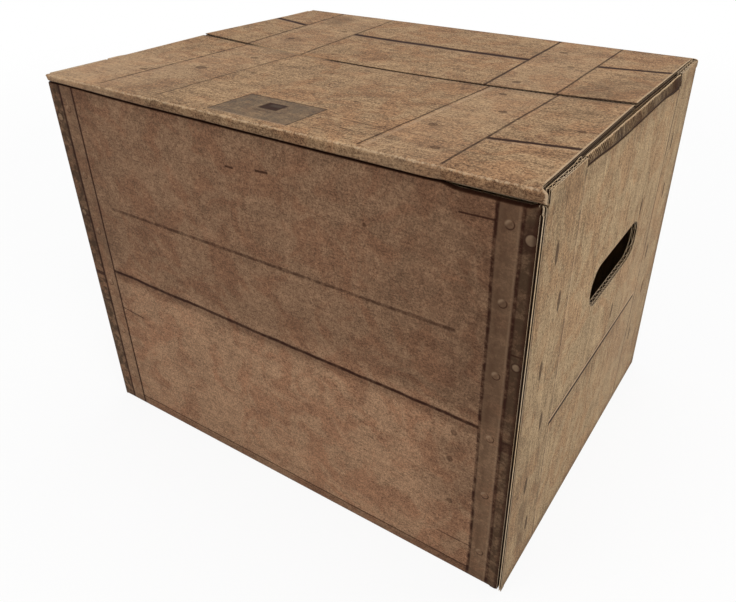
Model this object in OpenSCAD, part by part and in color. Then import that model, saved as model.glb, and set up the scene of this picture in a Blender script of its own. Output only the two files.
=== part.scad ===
// Corrugated shipping carton with two hinged top flaps.
// Millimetres. X runs along the front, Y to the back, Z up.
// The origin is the middle of the base on the floor.

/* [Carton] */
// Outside width along the front
carton_w = 400; // [340:5:480]
// Outside depth from front to back
carton_d = 316; // [260:2:380]
// Outside height to the top of the closed flaps
carton_h = 305; // [240:5:380]
// Outside radius of the upright folds
upright_fold_r = 5; // [3:0.5:8]

/* [Board] */
// Thickness of the double-wall board
board_t = 4.4; // [3.6:0.2:5]
// Play between two boards that lie on each other
layer_gap = 0.8; // [0.4:0.1:1.5]
// Play between a fold that turns and the wall under it
fold_gap = 0.3; // [0.2:0.1:0.6]

/* [Glued joint] */
// Width of the glue tab inside the right end
glue_tab_w = 35; // [25:1:45]
// Distance from the glue tab to the top and to the base
glue_tab_margin = 30; // [20:1:50]
// Outside radius of the fold that leads into the glue tab
joint_fold_r = 3; // [2:0.5:5]
// How far the end panel's raw edge lies behind the front
raw_edge_setback = 0.3; // [0.1:0.1:1]

/* [Top flaps] */
// Depth of the hinge line behind the face and below the top
hinge_depth = 4; // [3.2:0.1:4.4]
// Height of the rolled lip, from the top down to the crease
lip_h = 7.4; // [6.4:0.1:8]
// How far the lip stands over the wall's face
lip_overhang = 0.4; // [0:0.1:0.6]
// Radius of the lip's upper edge
lip_edge_r = 2.4; // [1:0.1:3]
// Distance from the end's face to the lip's ends
lip_inset = 0.5; // [0.2:0.1:2]
// Width of the seam between the two flaps
seam_gap = 1; // [0.5:0.1:3]
// Distance from the end's face to the front flap's cut edge
front_flap_inset = 5.5; // [5.5:0.1:10]
// Distance from the end's face to the back flap's cut edge
back_flap_inset = 5.2; // [5.2:0.1:10]
// Rise of the front flap's corners at the seam
front_corner_lift = 1.8; // [0:0.1:3]
// Rise of the back flap's corners at the seam
back_corner_lift = 2.6; // [0:0.1:3]
// Sag of the flaps at the middle of the seam
seam_sag = 3; // [0:0.1:3.5]

/* [End flaps] */
// Length of the end flaps, top and bottom
end_flap_len = 158; // [100:1:165]
// Downward slope of the top end flaps, in degrees
end_flap_slope = 1.3; // [1.2:0.1:3]
// Length of the upstanding ear next to the front
front_ear = 55; // [40:1:80]
// Length of the upstanding ear next to the back
back_ear = 52; // [30:1:70]
// Width of the slit between an ear and the folded flap
slit_w = 1; // [0.6:0.1:2]
// Width and depth of the crease under the folded flap
crease = 1; // [0.5:0.1:1.4]

/* [Hand holes] */
// Length of a hand hole
hole_len = 106.5; // [80:0.5:120]
// Height of a hand hole
hole_h = 32; // [24:1:40]
// Height of its middle above the floor
hole_z = 191.5; // [120:0.5:200]
// Distance of its middle behind the carton's middle
hole_back = 0; // [-10:1:20]

/* [Base] */
// Outside radius of the folds round the base
base_fold_r = 1.5; // [1:0.5:4]
// Distance from the end's face to the large base flaps' cut edges
base_flap_inset = 7; // [6:0.5:12]
// Width of the seam in the base
base_seam = 1; // [0.5:0.1:3]

/* [Hidden] */
$fn = 48;
eps = 0.01;
over = 20;
half_w = carton_w / 2;
half_d = carton_d / 2;
inner_fold_r = 0.8;

// The fold of a large flap turns about one line along X.
hinge_y = half_d - hinge_depth;
hinge_z = carton_h - hinge_depth;
lip_y = hinge_depth + lip_overhang;
lip_z = lip_h - hinge_depth;
root_r = sqrt(lip_y * lip_y + lip_z * lip_z);
cradle_r = root_r + fold_gap;
wall_top = hinge_z - sqrt(cradle_r * cradle_r - hinge_depth * hinge_depth);

// The end flaps lie one board lower.
end_fold_z = carton_h - board_t - layer_gap;
end_crease_z = end_fold_z - lip_h;

// The bow of a flap's free edge is a parabola of BOW_STEPS pieces.
BOW_STEPS = 20;
REACH_STEPS = 4;

// Height of the free edge over its level line, at x
function bow(x, lift) = -seam_sag + (seam_sag + lift) * pow(x / half_w, 2);

// A block between two corners
module block(low, high) {
    translate(low) cube(high - low);
}

// An upright block with round corners about the Z axis
module round_block(w, d, r, z0, z1) {
    block([-w / 2 + r, -d / 2, z0], [w / 2 - r, d / 2, z1]);
    block([-w / 2, -d / 2 + r, z0], [w / 2, d / 2 - r, z1]);
    for (sx = [-1, 1], sy = [-1, 1])
        translate([sx * (w / 2 - r), sy * (d / 2 - r), z0]) cylinder(r = r, h = z1 - z0);
}

// A bar along X through (y, z)
module bar_x(length, r, y, z) {
    translate([-length / 2, y, z]) rotate([0, 90, 0]) cylinder(r = r, h = length);
}

// What a round edge along X takes off a square one, at y = -half_d and z = 0
module edge_waste_x(r) {
    difference() {
        block([-half_w - over, -half_d - over, -over], [half_w + over, -half_d + r, r]);
        bar_x(carton_w + 3 * over, r, -half_d + r, r);
    }
}

// What a round edge along Y takes off a square one, at x = half_w.
// side is 1 for a lower edge at height z and -1 for an upper one.
module edge_waste_y(r, z, side) {
    difference() {
        translate([half_w - r, -half_d - over, side > 0 ? z - eps : z - r])
            cube([r + over, carton_d + 2 * over, r + eps]);
        translate([half_w - r, -half_d - 2 * over, z + side * r])
            rotate([-90, 0, 0]) cylinder(r = r, h = carton_d + 4 * over);
    }
}

// Both copies of something that the left and right ends share
module both_ends() {
    children();
    mirror([1, 0, 0]) children();
}

// Both copies of something that front and back share
module front_and_back() {
    children();
    mirror([0, 1, 0]) children();
}

// The four walls as one ring of board
module wall_ring() {
    difference() {
        round_block(carton_w, carton_d, upright_fold_r, 0, carton_h);
        round_block(carton_w - 2 * board_t, carton_d - 2 * board_t, inner_fold_r, -over, carton_h + over);
    }
    // The right end's raw edge is square, so it fills out the round corner.
    block([half_w - board_t, -half_d + raw_edge_setback, 0], [half_w, -half_d + 2 * upright_fold_r, carton_h]);
}

// The groove where the front turns in beside the right end's raw edge
module joint_groove() {
    groove_x = half_w - board_t;
    difference() {
        block([groove_x - joint_fold_r, -half_d - over, -over], [groove_x, -half_d + joint_fold_r, carton_h + over]);
        translate([groove_x - joint_fold_r, -half_d + joint_fold_r, -2 * over])
            cylinder(r = joint_fold_r, h = carton_h + 4 * over);
    }
    block([groove_x - eps, -half_d - over, -over], [half_w + over, -half_d + raw_edge_setback, carton_h + over]);
}

// The tab of the front panel, glued inside the right end
module glue_tab() {
    block(
        [half_w - 2 * board_t, -half_d + board_t / 2, glue_tab_margin],
        [half_w - board_t + eps, -half_d + board_t + glue_tab_w, carton_h - glue_tab_margin]
    );
}

// One end flap at the top: its fold and its sloping panel, on the right
module top_end_flap() {
    low_y = -half_d + front_ear + slit_w;
    high_y = half_d - back_ear - slit_w;
    block([half_w - board_t, low_y, end_crease_z - board_t], [half_w, high_y, end_fold_z]);
    translate([half_w - board_t, 0, end_fold_z])
        rotate([0, -end_flap_slope, 0])
            block([board_t - end_flap_len, low_y, -board_t], [board_t / 2, high_y, 0]);
}

// What is cut off above the right end's folded flap, with the two slits
module top_end_cut() {
    low_y = -half_d + front_ear;
    high_y = half_d - back_ear;
    block([half_w - board_t - over, low_y, end_fold_z], [half_w + over, high_y, carton_h + over]);
    for (y = [low_y, high_y - slit_w])
        block([half_w - board_t - over, y, end_crease_z], [half_w + over, y + slit_w, carton_h + over]);
    // The crease is a groove with a square corner turned inwards.
    translate([half_w, low_y, end_crease_z])
        rotate([0, 45, 0])
            translate([-crease / 2, 0, -crease / 2])
                cube([crease, high_y - low_y, crease]);
    intersection() {
        edge_waste_y(lip_edge_r, end_fold_z, -1);
        block([0, low_y, end_crease_z], [half_w + over, high_y, carton_h + over]);
    }
}

// What is cut away above the front wall for the flap's fold.
// Between the ears the whole board goes; the ears themselves start behind the turning fold.
module front_top_cut() {
    reach = half_w - board_t;
    block([-reach, -half_d - over, wall_top], [reach, -half_d + board_t + eps, carton_h + over]);
    block([-half_w - over, -half_d - over, wall_top], [half_w + over, -hinge_y, carton_h + over]);
    bar_x(carton_w + 2 * over, cradle_r, -hinge_y, hinge_z);
}

// A hand hole with round ends, through the right end
module hand_hole() {
    r = hole_h / 2;
    x0 = half_w - board_t - over;
    run = board_t + 2 * over;
    straight = hole_len / 2 - r;
    translate([x0, hole_back - straight, hole_z - r]) cube([run, 2 * straight, hole_h]);
    for (side = [-1, 1])
        translate([x0, hole_back + side * straight, hole_z]) rotate([0, 90, 0]) cylinder(r = r, h = run);
}

// The large base flaps, with the end flaps on top of them
module base_layers() {
    flap_x = half_w - base_flap_inset;
    difference() {
        block([-flap_x, -half_d, 0], [flap_x, half_d, board_t + eps]);
        block([-half_w, -base_seam / 2, -over], [half_w, base_seam / 2, board_t]);
    }
    both_ends() {
        block(
            [half_w - end_flap_len, -half_d + board_t / 2, board_t],
            [half_w - board_t / 2, half_d - board_t / 2, 2 * board_t]
        );
    }
}

// What the round folds take off around the base
module base_cut() {
    front_and_back() edge_waste_x(base_fold_r);
    both_ends() edge_waste_y(base_fold_r, 0, 1);
}

// The carton: walls, glued joint, closed base and folded-in end flaps, one sheet of board
module carton() {
    color("#9a7a5e")
    difference() {
        union() {
            difference() {
                wall_ring();
                joint_groove();
                both_ends() top_end_cut();
                front_and_back() front_top_cut();
            }
            glue_tab();
            base_layers();
            both_ends() top_end_flap_shaped();
        }
        base_cut();
        both_ends() hand_hole();
    }
}

// The end flap with its round fold and the crease under it
module top_end_flap_shaped() {
    difference() {
        top_end_flap();
        top_end_cut();
    }
}

// The bowed panel of a large flap, from the hinge line to the seam, on the front side
module bowed_panel(inset, lift) {
    reach = hinge_y - seam_gap / 2;
    half = half_w - inset;
    top = hinge_depth;
    cols = BOW_STEPS;
    rows = REACH_STEPS;
    // Rows run from inside the fold to the seam; each has its upper points, then its lower ones.
    rows_y = concat([-hinge_depth / 2], [for (j = [0:rows]) reach * j / rows]);
    function rise(x, y) = y <= 0 ? 0 : bow(x, lift) * y / reach;
    points = [
        for (y = rows_y, side = [0, 1], i = [0:cols])
            let (x = -half + 2 * half * i / cols)
            [x, y - hinge_y, hinge_z + top - side * board_t + rise(x, y)]
    ];
    n = cols + 1;
    last = rows + 1;
    function at(row, side, i) = row * 2 * n + side * n + i;
    faces = [
        for (row = [0:rows], i = [0:cols - 1]) each [
            [at(row, 0, i), at(row + 1, 0, i), at(row + 1, 0, i + 1)],
            [at(row, 0, i), at(row + 1, 0, i + 1), at(row, 0, i + 1)],
            [at(row, 1, i), at(row + 1, 1, i + 1), at(row + 1, 1, i)],
            [at(row, 1, i), at(row, 1, i + 1), at(row + 1, 1, i + 1)]
        ],
        for (i = [0:cols - 1]) each [
            [at(0, 0, i), at(0, 0, i + 1), at(0, 1, i)],
            [at(0, 0, i + 1), at(0, 1, i + 1), at(0, 1, i)],
            [at(last, 0, i), at(last, 1, i), at(last, 0, i + 1)],
            [at(last, 0, i + 1), at(last, 1, i), at(last, 1, i + 1)]
        ],
        for (row = [0:rows]) each [
            [at(row, 0, 0), at(row, 1, 0), at(row + 1, 0, 0)],
            [at(row + 1, 0, 0), at(row, 1, 0), at(row + 1, 1, 0)],
            [at(row, 0, cols), at(row + 1, 0, cols), at(row, 1, cols)],
            [at(row + 1, 0, cols), at(row + 1, 1, cols), at(row, 1, cols)]
        ]
    ];
    polyhedron(points, faces);
}

// The rolled fold of a large flap: a lip over the wall, round where it turns, on the front side
module flap_root(inset) {
    length = carton_w - 2 * inset;
    half = length / 2;
    lip_face = -hinge_y - lip_y;
    edge_y = lip_face + lip_edge_r;
    edge_z = carton_h - lip_edge_r;
    block([-half, lip_face, hinge_z - eps], [half, -hinge_y, edge_z]);
    block([-half, edge_y, edge_z - eps], [half, -hinge_y, carton_h]);
    intersection() {
        block([-half, lip_face, edge_z - eps], [half, edge_y + eps, carton_h]);
        bar_x(length, lip_edge_r, edge_y, edge_z);
    }
    intersection() {
        block([-half, lip_face, hinge_z - root_r], [half, -hinge_y, hinge_z]);
        bar_x(length, root_r, -hinge_y, hinge_z);
    }
}

// A large flap on the front side. Its fold is as wide as the carton, its panel fits between the ears.
module large_flap(inset, lift) {
    flap_root(lip_inset);
    bowed_panel(inset, lift);
}

// The front flap, which turns up at the front wall
module front_flap() {
    color("#a07f62")
    large_flap(front_flap_inset, front_corner_lift);
}

// The back flap, which turns up at the back wall
module back_flap() {
    color("#8f7054")
    mirror([0, 1, 0]) large_flap(back_flap_inset, back_corner_lift);
}

carton();
front_flap();
back_flap();
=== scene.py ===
"""A double-wall corrugated carton with an old-crate print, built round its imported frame."""

import math

import bpy
import numpy as np
from mathutils import Matrix, Vector


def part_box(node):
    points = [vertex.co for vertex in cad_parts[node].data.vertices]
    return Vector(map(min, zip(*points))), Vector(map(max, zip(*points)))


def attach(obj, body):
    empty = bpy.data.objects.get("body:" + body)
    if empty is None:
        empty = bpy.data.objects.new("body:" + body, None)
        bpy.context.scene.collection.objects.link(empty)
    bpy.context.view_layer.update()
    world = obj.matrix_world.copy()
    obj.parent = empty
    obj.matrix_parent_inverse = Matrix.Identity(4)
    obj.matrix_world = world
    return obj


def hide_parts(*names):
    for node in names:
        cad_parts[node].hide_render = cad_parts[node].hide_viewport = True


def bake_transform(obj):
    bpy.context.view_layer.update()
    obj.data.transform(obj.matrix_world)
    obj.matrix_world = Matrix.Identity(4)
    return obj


bl_info = {
    "name": "Crate Print Carton",
    "version": (1, 0, 0),
    "blender": (4, 5, 0),
    "location": "View3D > Sidebar > Carton",
    "description": "Builds a double-wall corrugated carton with hinged top flaps",
    "category": "Object",
}

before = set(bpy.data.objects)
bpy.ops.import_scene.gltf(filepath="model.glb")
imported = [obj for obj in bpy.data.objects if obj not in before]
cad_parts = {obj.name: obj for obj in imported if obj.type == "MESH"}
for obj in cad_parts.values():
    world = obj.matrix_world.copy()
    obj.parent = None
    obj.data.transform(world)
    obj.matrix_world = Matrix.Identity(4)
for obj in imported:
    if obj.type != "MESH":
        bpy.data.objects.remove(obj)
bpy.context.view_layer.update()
CARTON_LOW, CARTON_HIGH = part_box("carton")
MM = 0.001

# Names of the mesh attributes that the materials read.
SHEET = "Sheet"
# Wear is positive where the print is rubbed and negative where shade is painted in creases, seams,
# under the lip and in the board's hollows.
WEAR_AND_SHADE = "Wear"

# How near to a cut edge the hollows inside the board are already painted dark as shade, in
# millimetres, and how dark the painted shade on a fully shaded cut edge is.
NEAR_EDGE = 0.5
SHADED_EDGE = 0.75
# The plies of the board from the outside in: name, share of the board's thickness at the outer
# and inner face, and for a fluted one its paper (mm), its pitch (mm) and its start (turns).
PLIES = (
    ("printed_liner", 0.00, 0.09, None, None, 0),
    ("fine_flutes", 0.09, 0.36, 0.20, 3.30, 0.5),
    ("middle_liner", 0.36, 0.43, None, None, 0),
    ("coarse_flutes", 0.43, 0.92, 0.24, 7.20, 0.5),
    ("inner_liner", 0.92, 1.00, None, None, 0),
)
PRINTED = "printed_liner"
FINE_PITCH, COARSE_PITCH = PLIES[1][4], PLIES[3][4]

# Finishes of the carton's faces are numbered in the order of its materials, and those of a flap
# in the order of its own two.
FINISH_OF = {"front": 0, "joint_corner": 0, "left": 1, "back": 2, "right": 3, "tab": 4}
RAW, TOP_PRINT, TOP_RAW = 4, 0, 1

# How finely each ply is built: distance of columns on walls and flaps and on the end flaps'
# folds (mm), rows on a wall, steps round a base fold, whether all rows of a profile are
# needed, how much of a lip's torn end is there, and how much painted shade darkens its cut
# edge at the glued joint, where below zero its flutes stand open.
DETAIL = {
    "printed_liner": dict(
        step=4.0, fold_step=0.6, rows=2, arc=6, full=True, tear=1.0, joint_edge_shade=0.5),
    "fine_flutes": dict(
        step=0.8, fold_step=0.8, rows=1, arc=3, full=False, tear=0.25, joint_edge_shade=0.7),
    "middle_liner": dict(
        step=4.0, fold_step=4.0, rows=1, arc=4, full=False, tear=0.3, joint_edge_shade=0.0),
    "coarse_flutes": dict(
        step=1.2, fold_step=1.2, rows=1, arc=3, full=False, tear=0.2, joint_edge_shade=-1.0),
    "inner_liner": dict(
        step=4.0, fold_step=4.0, rows=2, arc=5, full=True, tear=0.2, joint_edge_shade=1.2),
}


# Values a user may change.


class CartonSizes(bpy.types.PropertyGroup):
    """Sizes of the carton, in metres."""

    width: bpy.props.FloatProperty(
        name="Width", description="Outside width along the front",
        default=CARTON_HIGH.x - CARTON_LOW.x, unit="LENGTH")
    depth: bpy.props.FloatProperty(
        name="Depth", description="Outside depth from front to back",
        default=CARTON_HIGH.y - CARTON_LOW.y, unit="LENGTH")
    height: bpy.props.FloatProperty(
        name="Height", description="Outside height to the level of the closed flaps",
        default=0.305, unit="LENGTH")
    board: bpy.props.FloatProperty(
        name="Board", description="Thickness of the double-wall board",
        default=0.0044, unit="LENGTH")
    fold: bpy.props.FloatProperty(
        name="Fold radius", description="Outside radius of the upright folds",
        default=0.005, unit="LENGTH")
    hinge: bpy.props.FloatProperty(
        name="Hinge depth",
        description="Depth of the flaps' hinge line behind the face and below the top",
        default=0.004, unit="LENGTH")
    end_flap: bpy.props.FloatProperty(
        name="End flap", description="Length of the folded end flaps",
        default=0.158, unit="LENGTH")
    base_fold: bpy.props.FloatProperty(
        name="Base fold radius", description="Outside radius of the folds round the base",
        default=0.0015, unit="LENGTH")
    hole_length: bpy.props.FloatProperty(
        name="Hand hole length", description="Length of a hand hole",
        default=0.1065, unit="LENGTH")
    hole_height: bpy.props.FloatProperty(
        name="Hand hole height", description="Height of a hand hole",
        default=0.032, unit="LENGTH")


# Small numeric helpers. From here on all lengths are in millimetres, up to the finished mesh.


def smooth(x, low, high):
    """0 below low, 1 above high, with a soft step between them."""
    t = np.clip((np.asarray(x, float) - low) / (high - low), 0, 1)
    return t * t * (3 - 2 * t)


def through(x, knots, values):
    """A curve with soft steps through the given points."""
    total = np.full(np.shape(x), float(values[0]))
    for k in range(1, len(knots)):
        total = total + (values[k] - values[k - 1]) * smooth(x, knots[k - 1], knots[k])
    return total


def waves(x, seed, length):
    """A gentle repeatable wander between about -1 and 1."""
    rng = np.random.default_rng(seed)
    total = np.zeros(np.shape(x))
    for k in range(1, 6):
        total = total + np.sin(np.asarray(x) / length * k * 1.7 + rng.uniform(0, 6.28)) / k
    return total / 1.8


def spread(low, high, step, edge=0.0):
    """Even places from low to high, at most a step apart, and one as near to each end as edge."""
    count = max(1, math.ceil(abs(high - low) / step - 1e-6))
    places = np.linspace(low, high, count + 1)
    if 0 < edge < 0.8 * abs(places[1] - places[0]):
        sign = np.sign(high - low)
        places = np.sort(np.append(places, [low + sign * edge, high - sign * edge]))[::int(sign)]
    return places


# A sheet of board made of patches.


class Patch:
    """A grid of points on the outer and inner face of the board, with what its faces look like.

    Wear is positive where the print is rubbed and negative where shade is painted into creases,
    seams and under the lip. Crush is the share of the flutes' height that is left. Edge shade is
    1 where a cut edge is painted dark as shade and -1 where a flute stands open.
    """

    def __init__(self, outer, inner, sheet_u, sheet_v, finish, wear_and_shade=0.0, crush=1.0, edge_shade=0.0):
        shape = outer.shape[:2]
        self.outer, self.inner, self.finish = outer, inner, finish
        self.u = np.broadcast_to(sheet_u, shape)
        self.v = np.broadcast_to(sheet_v, shape)
        self.wear_and_shade = np.broadcast_to(wear_and_shade, shape)
        self.crush = np.broadcast_to(crush, shape)
        self.edge_shade = np.broadcast_to(edge_shade, shape)


def ply_faces(patch, ply):
    """The two faces of one ply over a patch."""
    low, high, paper, pitch, turns = ply[1:]
    thick = np.linalg.norm(patch.inner - patch.outer, axis=2)
    if paper is None:
        top, bottom = np.full(thick.shape, low), np.full(thick.shape, high)
    else:
        share = paper / np.maximum(thick, 0.5)
        middle = (low + high) / 2
        swing = ((high - low) / 2 - share / 2).clip(0) * patch.crush
        middle = middle + swing * np.cos(2 * math.pi * (patch.u / pitch + turns))
        top, bottom = middle - share / 2, middle + share / 2
    across = patch.inner - patch.outer
    return patch.outer + across * top[..., None], patch.outer + across * bottom[..., None]


def welded(patches, ply):
    """A ply's patches as one: face points, places, wear and shade, edge shade, quads, finishes."""
    tops, bottoms, places, wear_shade_rows, quads, finishes = [], [], [], [], [], []
    count = 0
    for patch in patches:
        top, bottom = ply_faces(patch, ply)
        nu, nv = top.shape[:2]
        index = count + np.arange(nu * nv).reshape(nu, nv)
        quads.append(np.stack(
            [index[:-1, :-1], index[1:, :-1], index[1:, 1:], index[:-1, 1:]], 2).reshape(-1, 4))
        finishes.append(np.full((nu - 1) * (nv - 1), patch.finish))
        tops.append(top.reshape(-1, 3))
        bottoms.append(bottom.reshape(-1, 3))
        places.append(np.stack([patch.u, patch.v, 0 * patch.u], 2).reshape(-1, 3))
        wear_shade_rows.append(np.stack([patch.wear_and_shade, patch.edge_shade], 2).reshape(-1, 2))
        count += nu * nv
    tops, bottoms = np.concatenate(tops), np.concatenate(bottoms)
    key = np.round(np.concatenate([tops, bottoms], 1), 3) + 0.0
    _, first, same = np.unique(key, axis=0, return_index=True, return_inverse=True)
    quads, finishes = same.reshape(-1)[np.concatenate(quads)], np.concatenate(finishes)
    places, wear_shade_rows = np.concatenate(places)[first], np.concatenate(wear_shade_rows)[first]
    return tops[first], bottoms[first], places, wear_shade_rows, quads, finishes


def tidy_faces(quads, finishes):
    """Splits off the triangles among quads whose neighbouring corners fell together."""
    step = quads != np.roll(quads, -1, 1)
    distinct = step.sum(1)
    crossed = (quads[:, 0] == quads[:, 2]) | (quads[:, 1] == quads[:, 3])
    full, thin = (distinct == 4) & ~crossed, (distinct == 3) & ~crossed
    triangles = quads[thin][step[thin]].reshape(-1, 3)
    return quads[full], finishes[full], triangles, finishes[thin]


def open_edges(quads, triangles):
    """The directed edges that only one face has."""
    edges = [quads[:, [k, (k + 1) % 4]] for k in range(4)]
    edges += [triangles[:, [k, (k + 1) % 3]] for k in range(3)]
    edges = np.concatenate(edges)
    size = int(edges.max()) + 1
    forward, backward = edges[:, 0] * size + edges[:, 1], edges[:, 1] * size + edges[:, 0]
    return edges[~np.isin(forward, backward)]


def closed_faces(tops, bottoms, quads, finishes, raw):
    """A ply's faces, back and cut edges: corners, finishes, which are flat, and its open edges."""
    quads, quad_finish, triangles, triangle_finish = tidy_faces(quads, finishes)
    a, b, c = tops[quads[:, 0]], tops[quads[:, 1]], tops[quads[:, 2]]
    outward = np.einsum("ij,ij->i", np.cross(b - a, c - b), a - bottoms[quads[:, 0]])
    if np.sum(outward) < 0:
        quads, triangles = quads[:, ::-1], triangles[:, ::-1]
    rim = open_edges(quads, triangles)
    # The back's points follow all those of the front.
    under = len(tops)
    walls = np.stack([rim[:, 1], rim[:, 0], rim[:, 0] + under, rim[:, 1] + under], 1)
    faces = [quads, triangles, quads[:, ::-1] + under, triangles[:, ::-1] + under, walls]
    raw_faces = np.full(len(quads) + len(triangles) + len(walls), raw)
    slots = np.concatenate([quad_finish, triangle_finish, raw_faces])
    smooth_faces = 2 * (len(quads) + len(triangles))
    flat = np.concatenate([np.zeros(smooth_faces, bool), np.ones(len(walls), bool)])
    return faces, slots, flat, rim


def new_mesh(name, points, faces, slots, materials):
    """A mesh from points and arrays of faces with three or four corners and their materials."""
    mesh = bpy.data.meshes.new(name)
    mesh.vertices.add(len(points))
    mesh.vertices.foreach_set("co", (points * MM).astype(np.float32).ravel())
    sizes = np.concatenate([np.full(len(f), f.shape[1]) for f in faces])
    corners = np.concatenate([f.reshape(-1) for f in faces])
    mesh.loops.add(len(corners))
    mesh.loops.foreach_set("vertex_index", corners.astype(np.int32))
    mesh.polygons.add(len(sizes))
    starts = np.concatenate([[0], np.cumsum(sizes)[:-1]])
    mesh.polygons.foreach_set("loop_start", starts.astype(np.int32))
    for material in materials:
        mesh.materials.append(material)
    mesh.polygons.foreach_set("material_index", slots.astype(np.int32))
    mesh.update(calc_edges=True)
    return mesh


def board_ply(name, patches, ply, materials, raw):
    """Makes one ply of the board as a closed mesh. raw is the finish of its back and cut edges."""
    tops, bottoms, places, states, quads, finishes = welded(patches, ply)
    wear_and_shade, edge_shade = states.T
    faces, slots, flat, rim = closed_faces(tops, bottoms, quads, finishes, raw)
    used = np.unique(np.concatenate([f.reshape(-1) for f in faces]))
    renumber = np.zeros(2 * len(tops), np.int32)
    renumber[used] = np.arange(len(used))
    points = np.concatenate([tops, bottoms])[used]
    mesh = new_mesh(name, points, [renumber[f] for f in faces], slots, materials)
    mesh.attributes.new("sharp_face", "BOOLEAN", "FACE").data.foreach_set("value", flat)
    place = mesh.attributes.new(SHEET, "FLOAT_VECTOR", "POINT")
    both = np.concatenate([places, places])[used] * MM
    place.data.foreach_set("vector", both.astype(np.float32).ravel())
    # Inside the board the faces are painted dark as shade, up to its cut edges, which are as dark
    # as their painted edge shade.
    hollow_shade = np.clip(-edge_shade, 0, 1) - 1
    hollow_shade[rim] = -SHADED_EDGE * np.clip(edge_shade[rim], 0, None)
    outside = wear_and_shade if ply[1] == 0 else hollow_shade
    inside = 0 * hollow_shade if ply[2] == 1 else hollow_shade
    worn = mesh.attributes.new(WEAR_AND_SHADE, "FLOAT", "POINT")
    worn.data.foreach_set("value", np.concatenate([outside, inside])[used].astype(np.float32))
    if mesh.validate(verbose=True):
        raise RuntimeError(name + " has faces that Blender had to mend")
    piece = bpy.data.objects.new(name, mesh)
    bpy.context.scene.collection.objects.link(piece)
    return piece


# The carton's own shape.


# Radius of every fold on the inner face, room over the end flaps, and the joint's fold radius.
INNER_FOLD, LAYER_GAP, JOINT_FOLD = 0.8, 0.8, 1.3
# Slope of the glue tab's upper and lower edge, over how much of its width and from which heights.
TAB_SLOPE, TAB_LOW, TAB_HIGH = 10, 30, 275


class Shape:
    """The carton's sizes in millimetres, with the lines that its folds follow."""

    def __init__(self, sizes):
        lengths = (sizes.width, sizes.depth, sizes.height, sizes.board, sizes.fold, sizes.hinge,
                   sizes.end_flap, sizes.base_fold)
        (self.w, self.d, self.h, self.t, self.fold, self.hinge,
         self.end_flap, self.base_fold) = (1000 * v for v in lengths)
        # The hand holes' length, height, middle over the floor and middle in depth.
        self.hole = (1000 * sizes.hole_length, 1000 * sizes.hole_height, 191.5, 0.0)
        self.x, self.y = self.w / 2, self.d / 2
        self.corner = self.t + INNER_FOLD
        self.hinge_y, self.hinge_z = self.y - self.hinge, self.h - self.hinge
        self.ear_front, self.ear_back, self.slit = 55.0, 52.0, 1.0
        # The board is pressed thinner where the end lies on the glue tab.
        self.joint_board, self.tab = 3.4, 35.0
        self.end_top = self.h - self.t - LAYER_GAP

    def lip(self, x, front=True):
        """Height of the lip from the top down to the crease."""
        if front:
            return through(x, (-190, -80, 80, 130, 148, 190), (4.8, 6.6, 7.7, 8.0, 7.2, 7.3))
        return 6.6 + 0.7 * waves(x, 4, 90)

    def pinch(self, x, front=True):
        """Extra gap under the lip, where the wall's edge is pushed in."""
        if not front:
            return 0.5 * smooth(waves(x, 5, 60), 0.3, 1)
        torn_end = 2.6 * smooth(x, 138, 150) * smooth(-x, -198, -190)
        return torn_end + 0.25 * smooth(waves(x, 6, 25), 0, 1)

    def root(self, x, front=True):
        """Radius from the hinge line to the lip's lower corner."""
        return np.hypot(self.hinge + 0.4, self.lip(x, front) - self.hinge)

    def bow(self, x, lift):
        """Height of a large flap's free edge over its level line."""
        return -3.0 + (3.0 + lift) * (x / self.x) ** 2


def corner_path(share, size, radius, inner):
    """Outer and inner points of a fold in plan, from its start, along and across."""
    straight, arc = size - radius, radius * math.pi / 2
    s = share * (2 * straight + arc)
    angle = np.clip((s - straight) / radius, 0, math.pi / 2)
    along = np.minimum(s, straight) + radius * np.sin(angle)
    across = radius * (1 - np.cos(angle)) + np.maximum(s - straight - arc, 0)
    turn = share * math.pi / 2
    return (np.stack([along, across], 1),
            np.stack([inner * np.sin(turn), size - inner * np.cos(turn)], 1))


def ring_segments(shape):
    """The walls in plan, from the glue tab on: kind, start, direction, length and sheet place."""
    c = shape.corner
    x, y = shape.x, shape.y
    tab_x = x - shape.joint_board - 0.1
    plan = (
        ("tab", (tab_x, -y + shape.t + shape.tab), (0, -1), shape.tab - 0.8),
        ("joint_corner", None, None, None),
        ("front", (tab_x - c, -y), (-1, 0), tab_x + x - 2 * c),
        ("corner", None, None, None),
        ("left", (-x, -y + c), (0, 1), shape.d - 2 * c),
        ("corner", None, None, None),
        ("back", (-x + c, y), (1, 0), shape.w - 2 * c),
        ("corner", None, None, None),
        ("right", (x, y - c), (0, -1), shape.d - c - 0.3),
    )
    segments, u = [], 0.0
    for kind, start, direction, length in plan:
        if start is None:
            previous = segments[-1]
            radius = JOINT_FOLD if kind == "joint_corner" else shape.fold
            start = previous["start"] + previous["direction"] * previous["length"]
            direction = previous["direction"]
            length = 2 * (c - radius) + radius * math.pi / 2
            segment = dict(kind=kind, radius=radius)
        else:
            segment = dict(kind=kind)
        start, direction = np.array(start, float), np.array(direction, float)
        segment.update(start=start, direction=direction, length=length, u=u)
        # The sheet runs clockwise seen from above, so inwards is on its right.
        segment["inward"] = np.array([segment["direction"][1], -segment["direction"][0]])
        segments.append(segment)
        u += length
    # The sheet's places end at 0 at the raw edge.
    for segment in segments:
        segment["u"] -= u
    return segments


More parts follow.
